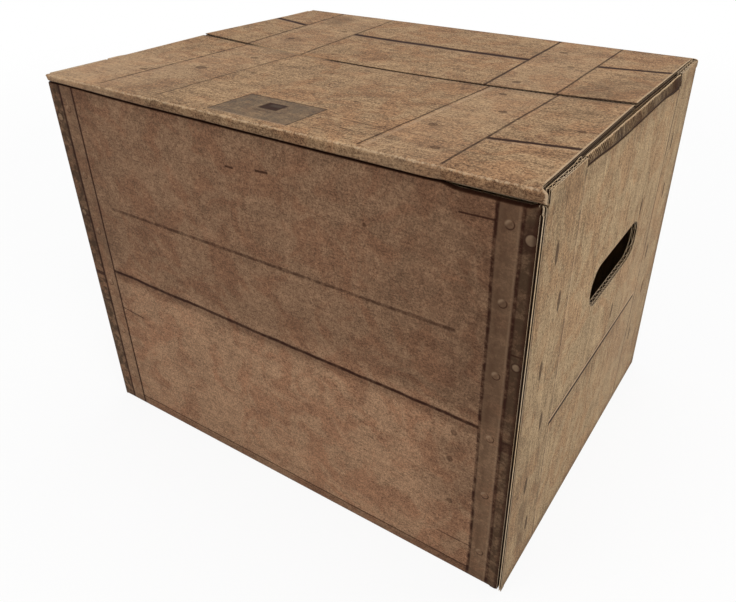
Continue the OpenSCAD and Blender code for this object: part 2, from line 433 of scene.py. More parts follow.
def wall_points(shape, segment, s):
    """Outer and inner plan points of the board at places s along a segment."""
    start, direction, inward = segment["start"], segment["direction"], segment["inward"]
    if "radius" in segment:
        share = s / segment["length"]
        out, inn = corner_path(share, shape.corner, segment["radius"], INNER_FOLD)
        return (start + out[:, :1] * direction + out[:, 1:] * inward,
                start + inn[:, :1] * direction + inn[:, 1:] * inward)
    outer = start + s[:, None] * direction
    thick = np.full(s.shape, shape.t)
    if segment["kind"] == "right":
        to_edge = segment["length"] - s
        pressed = smooth(-to_edge, -shape.tab - 18, -shape.tab - 6)
        thick -= (shape.t - shape.joint_board) * pressed
    return outer, outer + thick[:, None] * inward


def panel_starts(shape):
    """For each side, the sheet place of its left edge seen from outside. Places run to the left."""
    starts = {}
    for segment in ring_segments(shape):
        if segment["kind"] in ("front", "left", "back", "right"):
            first = segment["start"]
            edge = {
                "front": first[0] + shape.x, "left": shape.y - first[1],
                "back": shape.x - first[0], "right": first[1] + shape.y}[segment["kind"]]
            starts[segment["kind"]] = segment["u"] + edge
    return starts


def intervals(shape, segment):
    """Stretches of a segment: from, to, what is below and above, and if the hand hole is in it."""
    length, kind = segment["length"], segment["kind"]
    if kind == "tab":
        halves, sides = (length - TAB_SLOPE, length), ("none", "none")
    elif "radius" in segment:
        halves, sides = (length / 2, length), ("skirt", "rim")
    if kind == "tab" or "radius" in segment:
        return [(0, halves[0], *sides, False), (*halves, *sides, False)]
    if kind in ("front", "back"):
        return [(0, length, "flap", "rim", False)]
    hole, middle, end = shape.hole[0] / 2, shape.hole[3], shape.hole[1] / 2
    ear_low, ear_high = -shape.y + shape.ear_front, shape.y - shape.ear_back
    stops = [
        (-shape.y + shape.corner, "ear"), (ear_low, "slit"), (ear_low + shape.slit, "fold"),
        (middle - hole, "fold"), (middle - hole + end, "fold"), (middle + hole - end, "fold"),
        (middle + hole, "fold"), (ear_high - shape.slit, "slit"), (ear_high, "ear"),
        (shape.y - shape.corner, None),
    ]
    first, sign = segment["start"][1], segment["direction"][1]
    found = []
    for k in range(len(stops) - 1):
        low, high = sorted(((stops[k][0] - first) * sign, (stops[k + 1][0] - first) * sign))
        found.append((low, high, "flap", stops[k][1], 3 <= k <= 5))
    if kind == "right":
        joint = length - 3.5
        found += [(found[0][1], joint, "skirt", "ear", False),
                  (joint, length, "skirt", "rim", False)]
    return sorted(found)


def crease_line(shape, segment, points):
    """Height of the end flap's crease, which rises between the slits and sinks at the back."""
    lowest = shape.end_top - 8.6
    if segment["kind"] not in ("left", "right"):
        return np.full(len(points), lowest)
    y = points[:, 1]
    inside = smooth(y, -142, -120) * smooth(-y, -146, -125)
    rise = 3.8 + 3.0 * smooth(-y, 45, 100) - 2.4 * smooth(y, 55, 105) + 0.25 * waves(y, 9, 30)
    return lowest + rise * inside


class Stretch:
    """Columns at places s along one segment of the walls, and the patches that hold them."""

    def __init__(self, shape, segment, s, detail, finish):
        self.outer, self.inner = wall_points(shape, segment, s)
        self.u, self.x, self.y = segment["u"] + s, self.outer[:, 0], self.outer[:, 1]
        inward = self.inner - self.outer
        self.inward = inward / np.linalg.norm(inward, axis=1)[:, None]
        self.crease = crease_line(shape, segment, self.outer)
        self.finish, self.patches = finish, []
        # At the raw edge of the glued joint the last flutes stand open, the plies' cut edges get
        # painted shade, and the print is darker towards the edge.
        self.raw_edge_darkening = self.raw_edge_shade = 0.0
        if segment["kind"] == "right":
            to_edge = segment["length"] - s[:, None]
            self.raw_edge_darkening = -0.55 * smooth(-to_edge, -2.2, -0.6)
            self.raw_edge_shade = detail["joint_edge_shade"] * smooth(-to_edge, -2.6, -1.2)

    def keep(self, outer, inner, v, wear_and_shade, crush):
        """Adds one patch, with the glued joint's darkening and edge shade on top of its own wear.
        """
        wear_and_shade = wear_and_shade + self.raw_edge_darkening
        self.patches.append(
            Patch(outer, inner, self.u[:, None], v, self.finish, wear_and_shade, crush, self.raw_edge_shade))

    def upright(self, lower, upper, rows, wear_and_shade=0.0, near_edge=True):
        """An upright patch between two heights. Its wear may depend on the share of its height."""
        share = np.linspace(0, 1, rows + 1)
        if near_edge:
            near = NEAR_EDGE / float(np.max(upper - lower))
            share = np.unique(np.concatenate([share, [near, 1 - near]]))
        z = lower[:, None] + (upper - lower)[:, None] * share
        if callable(wear_and_shade):
            wear_and_shade = wear_and_shade(share)
        faces = [np.concatenate([
            np.broadcast_to(face[:, None], z.shape + (2,)), z[..., None]], 2)
            for face in (self.outer, self.inner)]
        self.keep(*faces, z, wear_and_shade, 1.0)

    def profile(self, out, inn, v, wear_and_shade, crush=1.0, ribs=0.0, trim=None):
        """A patch along a profile of inset and height. Only its last row goes past trim."""
        out, inn = (np.broadcast_to(a, (len(self.u),) + a.shape[-2:]) for a in (out, inn))
        shifts = (out[..., 0] + ribs)[..., None], inn[..., :1]
        faces = [np.concatenate([
            self.outer[:, None] + self.inward[:, None] * shift, face[..., 1:]], 2)
            for shift, face in zip(shifts, (out, inn))]
        if trim is not None:
            for face in faces:
                face[:, :-1, 0] = np.clip(face[:, :-1, 0], -trim, trim)
        self.keep(*faces, v, wear_and_shade, crush)


# Distance of the columns on upright folds, and the width under which a stretch of the hand hole
# is one of its round ends, with the fewest columns there.
CORNER_STEP, HOLE_END, HOLE_COLUMNS = 0.6, 20, 14
# Height of the lowest cut edges over the floor, and how far the ears end under the flaps' top.
FLOOR_GAP, EAR_DROP = 0.3, 0.7


def columns(low, high, detail, segment, above, holed):
    """Places of the columns on a stretch, closer on folds and round the ends of a hand hole."""
    step = detail["fold_step"] if above == "fold" else detail["step"]
    if "radius" in segment:
        step = min(step, CORNER_STEP)
    s = spread(low, high, step, NEAR_EDGE if segment["kind"] in ("left", "right") else 0)
    if holed and high - low < HOLE_END:
        count = max(HOLE_COLUMNS, len(s) + 4)
        s = low + (high - low) * (1 - np.cos(np.linspace(0, math.pi, count))) / 2
    return s


def hole_half(shape, y):
    """Half the height of the hand hole at places y."""
    length, height, _, middle = shape.hole
    r = height / 2
    beyond = np.clip(np.abs(y - middle) - (length / 2 - r), 0, r)
    return np.sqrt(r * r - beyond**2)


def carton_patches(shape, detail):
    """The whole carton as patches of one sheet, with the columns and rows that detail says."""
    patches = []
    segments = ring_segments(shape)
    for number, segment in enumerate(segments):
        kind, length = segment["kind"], segment["length"]
        ends = kind in ("left", "right")
        for low, high, below, above, holed in intervals(shape, segment):
            s = columns(low, high, detail, segment, above, holed)
            finish = FINISH_OF.get(kind)
            if kind == "corner":
                finish = FINISH_OF[segments[number + (1 if low > 0 else -1)]["kind"]]
            stretch = Stretch(shape, segment, s, detail, finish)
            # How far a column is round to the end of the carton, and its wear, or on the fold by
            # the glued joint a darkening towards the joint.
            end_share, edge_wear = np.full(s.shape, float(ends)), 0.0
            if kind == "corner":
                share = s / length
                end_share = share if abs(segment["direction"][0]) > 0.5 else 1 - share
                edge_wear = (0.6 * np.sin(math.pi * s / length) ** 2)[:, None]
            if kind == "joint_corner":
                edge_wear = -0.7 * smooth(-s, -length * 0.9, -length * 0.55)[:, None]
            floor, top = np.full(s.shape, shape.corner), stretch.crease
            if kind == "tab":
                slope = smooth(s, length - TAB_SLOPE, length)
                floor = TAB_LOW + (shape.corner - TAB_LOW) * slope
                top = TAB_HIGH + (stretch.crease - TAB_HIGH) * slope
            half = hole_half(shape, stretch.y) if holed else np.zeros(s.shape)
            stretch.upright(floor, shape.hole[2] - half, detail["rows"], edge_wear)
            stretch.upright(shape.hole[2] + half, top, detail["rows"], edge_wear)
            if below == "skirt":
                stretch.upright(floor - shape.corner + FLOOR_GAP, floor, 2, edge_wear, False)
            if above == "ear":
                ear_top = np.full(s.shape, shape.h - EAR_DROP)
                stretch.upright(stretch.crease, ear_top, 3, lambda share: 0.6 * share**6)
            if above == "rim":
                add_rim(shape, stretch, end_share, ends, edge_wear)
            if below == "flap":
                add_base_flap(shape, stretch, ends, detail)
            if above == "fold":
                add_end_fold(shape, stretch, detail["fold_step"] < 2, detail["full"])
            patches += stretch.patches
    return patches


def add_base_flap(shape, stretch, ends, detail):
    """A base flap, with rows from its free edge along the floor and round its fold to the wall."""
    t, c, r = shape.t, shape.corner, shape.base_fold
    around = 2 * (c - r) + r * math.pi / 2
    bend = np.linspace(-0.5, 0.5, detail["arc"] + 1) * r * math.pi / 2 / around
    share = np.concatenate([[1], 0.5 + bend[::-1], [0]])
    out, inn = (np.stack([face[:, 1], c - face[:, 0]], 1)
                for face in corner_path(share, c, r, INNER_FOLD))
    fold_wear = 0.7 * np.sin(math.pi * share) ** 8
    stretch.profile(out, inn, c - share * around, fold_wear, 0.85)
    last = shape.end_flap if ends else shape.y - 0.5
    q = np.array([last, last - 1.5, 60, c + 9, c + 6.5, c + 4, c + 1.5, c])
    if not detail["full"]:
        q = q[[0, 1, 3, 5, 7]]
    # The end flaps rise on to the large ones, whose panels are narrower than the carton.
    rise = (t + 0.1) * (1 - smooth(-q, -c - 8, -c - 1)) if ends else 0 * q
    flat = np.stack([q, rise], 1)
    trim = None if ends else shape.x - 11.5
    stretch.profile(flat, flat + (0, t), c - around - (q - c), 0.1, 1.0, 0.0, trim)


def add_rim(shape, stretch, end_share, ends, wear_and_shade):
    """The wall's upper edge, which folds in under the lip of a large flap and is crushed there.

    end_share is 0 under the lip and rises to 1 round the corner, where the edge is shallower and
    carries less painted shade.
    """
    crease, x, front = stretch.crease, stretch.x, stretch.y[0] < 0
    gap = shape.pinch(x, front)
    shoulder = shape.h - shape.lip(x, front) - 1.9 - gap
    room = np.clip(shoulder - crease, 0.3, None)
    deep = 1 - 0.75 * end_share
    # Inset and share of the room for each row, its height over that and its share of the gap.
    steps = ((0, 0), (0, 0.5), (0, 1), (0.25, 1), (1.0, 1), (2.1, 1), (3.3, 1))
    over = (0, 0, 0, 0.30, 0.50, 0.62, 0.70)
    open_up = (0, 0, 0, 0, 0.04, 0.1, 0.25)
    out = np.stack([np.stack([
        np.minimum(q * (1 + 0.25 * gap), 3.4) * deep, crease + room * share + rise + gap * part], 1)
        for (q, share), rise, part in zip(steps, over, open_up)], 1)
    # Painted shade in the crease under the lip, darkest deep in its gap and fainter round the
    # corner.
    painted_shade = np.array([0, 0, -0.15, -0.6, -1, -1, -1]) * (1 - 0.6 * end_share[:, None])
    wear_and_shade = np.where(painted_shade < -0.01, painted_shade, wear_and_shade)
    top = np.minimum(shape.hinge_z - shape.root(x, front) - 0.25, out[:, -1, 1] - 0.3)
    if ends:
        top = out[:, -1, 1] - 0.05
    share = np.linspace(0, 1, 7)
    heights = crease[:, None] + (top - crease)[:, None] * share
    inn = np.stack([np.full(heights.shape, shape.t), heights], 2)
    stretch.profile(out, inn, out[..., 1], wear_and_shade, 0.8)


def add_end_fold(shape, stretch, ribbed, full):
    """The rolled fold of a top end flap, its raised crest and its sloping panel, over one stretch.

    The profile has 18 rows: 0 to 6 up the outside of the fold, 7 to 13 round its crest and 14 to
    17 down to the panel.
    """
    t, top, edge = shape.t, shape.end_top, 0.9
    crease, u, y = stretch.crease, stretch.u, stretch.y
    crest = top + 4.5 + (0.3 * waves(y, 14, 17) - 0.006 * y)[:, None]
    angle = np.linspace(0, math.pi / 2, 7)
    lean = math.tan(math.radians(1.3))
    out_q = np.concatenate([[0, 0.6, 1.2, 0.8, 0.1, -0.3, -0.2], 1.0 + edge - edge * np.cos(angle),
                            [2.5, 3.4, 4.3, t + 0.8]])
    z = crease[:, None] + np.array([0, 0.5, 1.1, 1.7, 2.2, 3.0, 4.6] + 11 * [0.0])
    z[:, 7:14] = crest - edge + edge * np.sin(angle)
    z[:, 14:17] = crest + (top - crest) * np.array([0.2, 0.62, 0.93])
    z[:, 17] = top - lean * 0.8
    inn_q = np.concatenate([
        np.full(8, t), t + 0.75 * (1 - np.cos(angle[1:])), [t + 0.8, t + 0.83, t + 0.86, t + 0.9]])
    inn_z = np.linspace(0, 1, 8)[None] * (top - t - 0.8 - crease)[:, None] + crease[:, None]
    turn_z = np.broadcast_to(top - t - 0.8 + 0.75 * np.sin(angle[1:]), (len(u), 6))
    flat_z = np.full((len(u), 4), top - t - lean * 0.8)
    inn_z = np.concatenate([inn_z, turn_z, flat_z], 1)
    # The fine flutes show through as ribs, with painted shade in the grooves between them.
    rib = np.cos(2 * math.pi * u / (FINE_PITCH * 0.8) + 1.5 * waves(y, 15, 40))
    weight = np.array([0, 0, 0.3, 0.8, 1, 1, 1, 1, 1, 0.9, 0.7, 0.5, 0.4, 0.4, 0.3, 0.2, 0, 0])
    ribs = (0.2 + 0.1 * waves(y, 12, 22)) * rib + 0.12 * waves(y, 13, 3.2)
    ribs = ribs[:, None] * weight * ribbed
    out = np.stack([np.broadcast_to(out_q, z.shape), z], 2)
    inn = np.stack([np.broadcast_to(inn_q, z.shape), inn_z], 2)
    length = np.concatenate([[0], np.cumsum(np.hypot(np.diff(out_q), np.diff(z[0])))])
    v = crease[:, None] + length[None]
    # Below zero the rows paint shade into the crease at the fold's foot and darken the fold's side;
    # above zero the crest is rubbed to bare paper.
    wear_and_shade = np.array([-0.55, -1.1, -1.1, -1.1, -0.85, -0.62, -0.55, -0.5, -0.4,
                     -0.1, 0.6, 1.6, 2.2, 2.2, 1.8, 0.3, -0.25, -0.4])
    painted_shade = -0.85 * smooth(rib + 0.5 * waves(y, 16, 9), 0.0, 0.9)[:, None] * np.array(
        [0, 0, 0, 0.5, 1, 1, 1, 1, 1, 0.9, 0.6, 0.2, 0, 0, 0, 0.4, 0.4, 0])
    # Towards the back the darkened rows are darker still.
    far = -0.3 * smooth(y, 50, 90)[:, None] * (wear_and_shade < 0)
    # The plies inside the board need fewer rows.
    keep = np.arange(18) if full else np.array([0, 2, 4, 6, 8, 10, 13, 15, 17])
    state = (wear_and_shade + painted_shade + far)[:, keep]
    stretch.profile(out[:, keep], inn[:, keep], v[:, keep], state, 0.8, ribs[:, keep])
    middle = np.linspace(t + 8, shape.end_flap - 1.5, 5 if full else 2)
    q = np.concatenate([[t + 0.8], middle, [shape.end_flap]])
    z = top - lean * (q - t)
    stretch.profile(np.stack([q, z], 1), np.stack([np.maximum(q, t + 0.9), z - t], 1),
                    v[:, -1:] + q - q[0], 0.1)


# Depths behind the face at which the lip's outer and inner points pass into the flap's panel.
LIP_OUT, LIP_IN = 5.4, 7.4


def lip_profile(shape, x, front):
    """Outer and inner points of the lip at each x, from below: depth behind the face and height."""
    wave = 0.22 * waves(x, 21 if front else 22, 40)
    low = shape.h - shape.lip(x, front)
    edge = 2.2 + 0.3 * waves(x, 23, 70)
    angle = np.linspace(0, math.pi / 2, 7)
    ones = np.ones_like(x)
    out = [(3.0, low - 0.35), (1.4, low - 0.3), (0.3, low - 0.1), (-0.25 + wave, low + 0.45)]
    for k in range(1, 5):
        out.append((-0.4 + wave - 0.1 * math.sin(k * 0.785),
                    low + 0.5 + (shape.h - edge - low - 0.5) * k / 5))
    for a in angle:
        out.append((-0.4 + wave + edge * (1 - np.cos(a)), shape.h - edge + edge * np.sin(a)))
    for q in (3.2, 4.0, LIP_OUT):
        out.append((q * ones, shape.h * ones))
    outer = np.stack([np.stack([a * ones, b * ones], 1) for a, b in out], 1)
    top = shape.h - shape.t
    foot = shape.hinge_z - shape.root(x, front) - 0.1
    inn = [(shape.t, foot + (top - 1.0 - foot) * k / 8) for k in range(8)]
    for a in angle:
        inn.append((shape.t + 1.0 * (1 - np.cos(a)), top - 1.0 + 1.0 * np.sin(a)))
    for q in (5.7, 6.2, LIP_IN):
        inn.append((q, top))
    inner = np.stack([np.stack([a * ones, b * ones], 1) for a, b in inn], 1)
    return outer, inner


def flap_patches(shape, step, side, inset, lift, tear):
    """A large flap, closed: side is -1 for the front, 1 for the back.

    tear is how far the lip's torn end reaches over the carton's end.
    """
    patches = []
    front = side < 0
    half = shape.x - inset
    reach = shape.hinge_y - 0.5

    def place(points, x, rise):
        """Turns depth behind the face and height into the carton's frame."""
        y = side * (shape.y - points[..., 0])
        return np.stack([np.broadcast_to(x, y.shape), y, points[..., 1] + rise], -1)

    def level(x, depth):
        """How far a bowed flap stands over its level line."""
        past = np.clip(depth - shape.hinge, 0, None)
        return shape.bow(x, lift) * past / reach

    x = np.union1d(spread(-half, half, step, NEAR_EDGE), [-half + 1.4, half - 1.4])
    outer, inner = lip_profile(shape, x, front)
    n = outer.shape[1]
    # The lip's lowest rows, on its underside over the crease, are painted dark as shade; the rows
    # round its ridge are rubbed.
    wear_and_shade = np.array([-1, -1, -0.8, -0.3, 0, 0.05, 0.1, 0.15,
                     0.3, 0.5, 0.75, 0.85, 0.7, 0.45, 0.25, 0.1, 0.05, 0])
    steps = np.hypot(*np.moveaxis(np.diff(outer, axis=1), 2, 0))
    length = np.concatenate([np.zeros((len(x), 1)), np.cumsum(steps, 1)], 1)
    # The sheet's places are those of the panel as it lies, carried on down the lip.
    start = length[:, -1:] - LIP_OUT
    v = length - start
    if side > 0:
        v = shape.d - v
    xs = x[:, None]

    def add(out, inn, where, sheet_v, state, crush, edge_shade=0.0):
        """One patch of the flap, bowed as its free edge is."""
        faces = (place(face, where, level(where, face[..., 0])) for face in (out, inn))
        patches.append(Patch(*faces, where + shape.x, sheet_v, TOP_PRINT, state, crush, edge_shade))

    add(outer, inner, xs, v, wear_and_shade, 0.7)
    gap = shape_seam(x, front)
    depth = np.concatenate([[LIP_OUT], np.linspace(12, shape.y - 8, 9), [shape.y - 2.3]])
    q = depth[None] * np.ones_like(xs)
    q = np.concatenate([q, (shape.y - gap)[:, None]], 1)
    q_inner = q.copy()
    q_inner[:, 0] = LIP_IN
    top = np.full(q.shape, shape.h)
    top[:, -1] -= 0.25
    panel = np.stack([q, top], 2)
    under = np.stack([q_inner, np.full(q.shape, shape.h - shape.t)], 2)
    sheet_v = q if front else shape.d - q
    # The panel's last rows at the seam are painted dark as shade, and its side edges are rubbed.
    seam_shade_and_wear = seam_shade(x)[:, None] * np.concatenate([np.zeros(10), [-0.05, -1.6]]) + 0.1
    rubbed = 1.8 * smooth(np.abs(xs), half - 1.2, half - 0.3)
    seam_shade_and_wear = seam_shade_and_wear + rubbed * np.concatenate([np.ones(11), [0]])
    # The cut edges at the seam and at the panel's sides are painted dark as shade.
    edge_shade = seam_shade(x)[:, None] * np.concatenate([np.zeros(10), [0.3, 1.0]])
    edge_shade = np.maximum(edge_shade, 0.95 * smooth(np.abs(xs), half - 3, half))
    add(panel, under, xs, sheet_v, seam_shade_and_wear, 1.0, edge_shade)

    # Past the panel's cut edge the lip goes on to the carton's end, mostly as a torn outer liner.
    rows_out = np.array(8 * [1.0] + [1.0, 0.98, 0.9, 0.72, 0.5, 0.3, 0.16, 0.08, 0.04, 0.0])
    rows_out = rows_out * (shape.x - 0.4 - half)
    for end in (-1, 1):
        share = np.linspace(0, 1, 6)[::end]
        columns = end * (half + share[:, None] * rows_out[None] * tear * (1 if end > 0 else 0.8))
        out, inn = lip_profile(shape, end * np.full(6, half), front)
        # The liner's torn end stands off at the right and is pressed round the corner at the left.
        bend = 0.15 if end > 0 else -3.4
        flare = bend * share[:, None] ** 2 * tear * np.clip(1 - np.arange(n) / 12, 0, 1)[None]
        out[..., 0] -= flare
        torn = wear_and_shade * 0.6 + (0.4 + (end > 0)) * share[:, None] ** 2
        add(out, inn, columns, v[0 if end < 0 else -1], torn, 0.7)
    return patches


def shape_seam(x, front):
    """Half the seam between the two flaps: tight left of the middle, open elsewhere."""
    opening = through(x, (-150, -135, -120, -62, -50, 120, 150, 195),
                      (0.9, 0.5, 0.25, 0.25, 1.0, 1.15, 0.9, 0.8))
    return opening + 0.1 * waves(x, 31 if front else 32, 18)


def seam_shade(x):
    """How strongly painted shade darkens the seam's edges."""
    painted_shade = through(x, (-150, -122, -68, -48), (1.0, 0.15, 0.15, 1.0))
    return painted_shade * (0.85 + 0.15 * waves(x, 33, 25))


# Shader groups and materials.


class Wiring:
    """Short calls that add nodes to one node tree."""

    def __init__(self, tree):
        self.tree = tree

    def add(self, kind, inputs=None, **settings):
        node = self.tree.nodes.new(kind)
        for key, value in settings.items():
            setattr(node, key, value)
        for key, value in (inputs or {}).items():
            self.feed(node.inputs[key], value)
        return node

    def feed(self, socket, value):
        if isinstance(value, bpy.types.NodeSocket):
            self.tree.links.new(value, socket)
        else:
            socket.default_value = value

    def math(self, operation, *values, clamp=False):
        return self.add("ShaderNodeMath", dict(enumerate(values)),
                        operation=operation, use_clamp=clamp).outputs[0]

    def step(self, value, low, high, to_low=0.0, to_high=1.0, soft=True):
        """value remapped from low..high to to_low..to_high, held beyond."""
        kind = "SMOOTHSTEP" if soft else "LINEAR"
        ends = dict(enumerate((value, low, high, to_low, to_high)))
        return self.add("ShaderNodeMapRange", ends, interpolation_type=kind).outputs[0]

    def blend(self, share, low, high, mode="MIX"):
        # A mix node's colours are its inputs 6 and 7, and its output 2.
        node = self.add("ShaderNodeMix", {0: share, 6: low, 7: high},
                        data_type="RGBA", blend_type=mode)
        return node.outputs[2]

    def place(self, x, y, z=0.0):
        return self.add("ShaderNodeCombineXYZ", {0: x, 1: y, 2: z}).outputs[0]

    def noise(self, place, scale=1.0, detail=2.0, rough=0.5, warp=0.0):
        return self.add("ShaderNodeTexNoise", {
            "Vector": place, "Scale": scale, "Detail": detail, "Roughness": rough,
            "Distortion": warp}).outputs[0]

    def group(self, name, **values):
        node = self.add("ShaderNodeGroup")
        node.node_tree = bpy.data.node_groups[name]
        for key, value in values.items():
            self.feed(node.inputs[key.replace("_", " ")], value)
        return node


def new_group(name, inputs, outputs):
    """An empty shader group with named sockets: its wiring, inputs and outputs."""
    tree = bpy.data.node_groups.new(name, "ShaderNodeTree")
    kinds = {"value": "NodeSocketFloat", "colour": "NodeSocketColor"}
    for label, kind, default in inputs:
        socket = tree.interface.new_socket(label, in_out="INPUT", socket_type=kinds[kind])
        socket.default_value = default
    for label, kind in outputs:
        tree.interface.new_socket(label, in_out="OUTPUT", socket_type=kinds[kind])
    wiring = Wiring(tree)
    return wiring, wiring.add("NodeGroupInput").outputs, wiring.add("NodeGroupOutput").inputs


def make_old_wood():
    """Printed wood: fibres and pores along the grain, stains of another hue and print speckle."""
    w, i, o = new_group("Old Wood", [
        ("Along", "value", 0), ("Across", "value", 0), ("Seed", "value", 0),
        ("Dark", "colour", (0, 0, 0, 1)), ("Light", "colour", (1, 1, 1, 1)),
        ("Stain", "colour", (0.5, 0.5, 0.5, 1)), ("Fibre", "value", 1),
        ("Cloud", "value", 1), ("Speckle", "value", 1), ("Pores", "value", 1),
    ], [("Color", "colour"), ("Tone", "value"), ("Fibres", "value")])
    m = w.math
    along, across, seed = i["Along"], i["Across"], i["Seed"]
    drawn = lambda kx, ky, shift: w.place(
        m("MULTIPLY", along, kx), m("MULTIPLY", across, ky), m("ADD", seed, shift))
    fine = w.noise(drawn(0.05, 0.6, 0), 1, 3, 0.75, 0.8)
    broad = w.noise(drawn(0.012, 0.07, 3), 1, 3, 0.6, 1.5)
    pore = w.noise(drawn(0.16, 1.15, 5), 1, 2, 0.6, 0.5)
    cloud = w.noise(drawn(1, 1, 9), 0.045, 4, 0.7, 0.8)
    speck = w.noise(drawn(1, 1, 1), 0.8, 3, 0.85)
    centred = lambda value, weight: m("MULTIPLY", m("SUBTRACT", value, 0.5), weight)
    grain = m("ADD", centred(fine, i["Fibre"]), centred(broad, m("MULTIPLY", i["Fibre"], 0.6)))
    spots = m("ADD", centred(cloud, i["Cloud"]), centred(speck, m("MULTIPLY", i["Speckle"], 2.0)))
    tone = m("ADD", m("ADD", grain, spots), 0.5, clamp=True)
    pores = w.step(pore, 0.56, 0.70, 0, m("MULTIPLY", i["Pores"], 0.55))
    tone = m("SUBTRACT", tone, pores, clamp=True)
    hue = w.step(w.noise(drawn(1, 1, 7.7), 0.035, 3, 0.6, 1.0), 0.42, 0.62)
    wood = w.blend(tone, i["Dark"], i["Light"])
    w.feed(o["Color"], w.blend(m("MULTIPLY", hue, 0.4), wood, i["Stain"], "SOFT_LIGHT"))
    w.feed(o["Tone"], tone)
    w.feed(o["Fibres"], fine)


def make_bar_mark():
    """The mask of a printed line or band, with soft ends and a wandering, patchy edge."""
    w, i, o = new_group("Bar Mark", [(name, "value", value) for name, value in (
        ("Along", 0), ("Across", 0), ("Position", 0), ("Slope", 0), ("Start", 0), ("End", 1),
        ("Width", 1), ("Softness", 0.5), ("Waver", 0), ("Wander", 0), ("Patch", 1),
        ("Patchiness", 0))], [("Mask", "value")])
    m = w.math
    middle = m("MULTIPLY_ADD", m("SUBTRACT", i["Along"], i["Start"]), i["Slope"], i["Position"])
    middle = m("MULTIPLY_ADD", i["Waver"], i["Wander"], middle)
    away = m("ABSOLUTE", m("SUBTRACT", i["Across"], middle))
    half = m("MULTIPLY", i["Width"], 0.5)
    body = w.step(away, m("ADD", half, i["Softness"]), m("SUBTRACT", half, i["Softness"]))
    before, after = (m(way, i["Start"], i["Softness"]) for way in ("SUBTRACT", "ADD"))
    first = w.step(i["Along"], before, after)
    after, before = (m(way, i["End"], i["Softness"]) for way in ("ADD", "SUBTRACT"))
    last = w.step(i["Along"], after, before)
    worn = m("SUBTRACT", 1, m("MULTIPLY", i["Patchiness"], m("SUBTRACT", 1, i["Patch"])))
    w.feed(o["Mask"], m("MULTIPLY", m("MULTIPLY", body, worn), m("MULTIPLY", first, last)))


def make_round_mark():
    """The masks of a nail head, rivet or knot: its disc, its rim and its lit side."""
    w, i, o = new_group("Round Mark", [(name, "value", value) for name, value in (
        ("Along", 0), ("Across", 0), ("Centre Along", 0), ("Centre Across", 0), ("Radius", 1),
        ("Softness", 0.5), ("Stretch", 1), ("Rim Above", 0.25))], [
            ("Disc", "value"), ("Rim", "value"), ("Lit", "value")])
    m = w.math
    dx = m("DIVIDE", m("SUBTRACT", i["Along"], i["Centre Along"]), i["Stretch"])
    dy = m("SUBTRACT", i["Across"], i["Centre Across"])
    away = m("SQRT", m("ADD", m("MULTIPLY", dx, dx), m("MULTIPLY", dy, dy)))
    outside, inside = (m(way, i["Radius"], i["Softness"]) for way in ("ADD", "SUBTRACT"))
    disc = w.step(away, outside, inside)
    rim = w.step(m("ABSOLUTE", m("SUBTRACT", away, i["Radius"])), i["Softness"], 0)
    below = w.step(m("SUBTRACT", dx, dy), m("MULTIPLY", i["Radius"], -1.2), i["Radius"],
                   i["Rim Above"], 1)
    rim = m("MULTIPLY", rim, below)
    w.feed(o["Disc"], disc)
    w.feed(o["Rim"], rim)
    side = w.step(m("SUBTRACT", dy, dx), 0, m("MULTIPLY", i["Radius"], 1.2))
    w.feed(o["Lit"], m("MULTIPLY", disc, side))


def make_edge_scuff_and_shade():
    """Wear on folds, where paper shows through rubbed print, and painted shade where wear is
    negative.
    """
    w, i, o = new_group("Edge Scuff And Shade", [
        ("Color", "colour", (1, 1, 1, 1)), ("Wear", "value", 0),
        ("Along", "value", 0), ("Across", "value", 0), ("Paper", "colour", (1, 1, 1, 1)),
        ("Dirt", "colour", (0, 0, 0, 1)), ("Amount", "value", 1),
    ], [("Color", "colour"), ("Scuff", "value")])
    m = w.math
    grit = w.noise(w.place(i["Along"], i["Across"], 3.3), 0.45, 5, 0.75, 0.5)
    rubbed = w.step(m("MULTIPLY_ADD", i["Wear"], 0.5, grit), 0.78, 1.05)
    rubbed = m("MULTIPLY", rubbed, i["Amount"], clamp=True)
    # Negative wear paints shade, with some dirt, in the ink colour.
    shade_and_dirt_share = w.step(i["Wear"], -0.1, -1.0, 0, 0.92)
    colour = w.blend(m("MULTIPLY", rubbed, 0.7), i["Color"], i["Paper"])
    w.feed(o["Color"], w.blend(shade_and_dirt_share, colour, i["Dirt"]))
    w.feed(o["Scuff"], rubbed)


def make_board_relief():
    """Height of the paper: a faint washboard over the flutes, fibres and the print's grain."""
    w, i, o = new_group("Board Relief", [
        ("Along", "value", 0), ("Across", "value", 0), ("Grain", "value", 0.5),
        ("Scuff", "value", 0), ("Flutes", "value", 1)], [("Height", "value")])
    m = w.math
    ridge = m("SINE", m("MULTIPLY", i["Along"], 2 * math.pi / COARSE_PITCH))
    paper = w.noise(w.place(i["Along"], i["Across"], 1.7), 1.3, 4, 0.65)
    height = m("MULTIPLY_ADD", ridge, m("MULTIPLY", i["Flutes"], 0.05), m("MULTIPLY", paper, 0.10))
    height = m("MULTIPLY_ADD", i["Grain"], 0.07, height)
    w.feed(o["Height"], m("MULTIPLY_ADD", i["Scuff"], -0.06, height))


GROUPS = (make_old_wood, make_bar_mark, make_round_mark, make_edge_scuff_and_shade, make_board_relief)


def srgb(code):
    """A colour written as six hex digits, as linear values."""
    parts = [int(code[k:k + 2], 16) / 255 for k in (0, 2, 4)]
    return tuple(v / 12.92 if v <= 0.04045 else ((v + 0.055) / 1.055) ** 2.4 for v in parts)


def colour_value(name, description, code):
    """A colour property with its starting value in hex digits."""
    return bpy.props.FloatVectorProperty(
        name=name, description=description, subtype="COLOR", size=3,
        default=srgb(code), min=0, max=1)


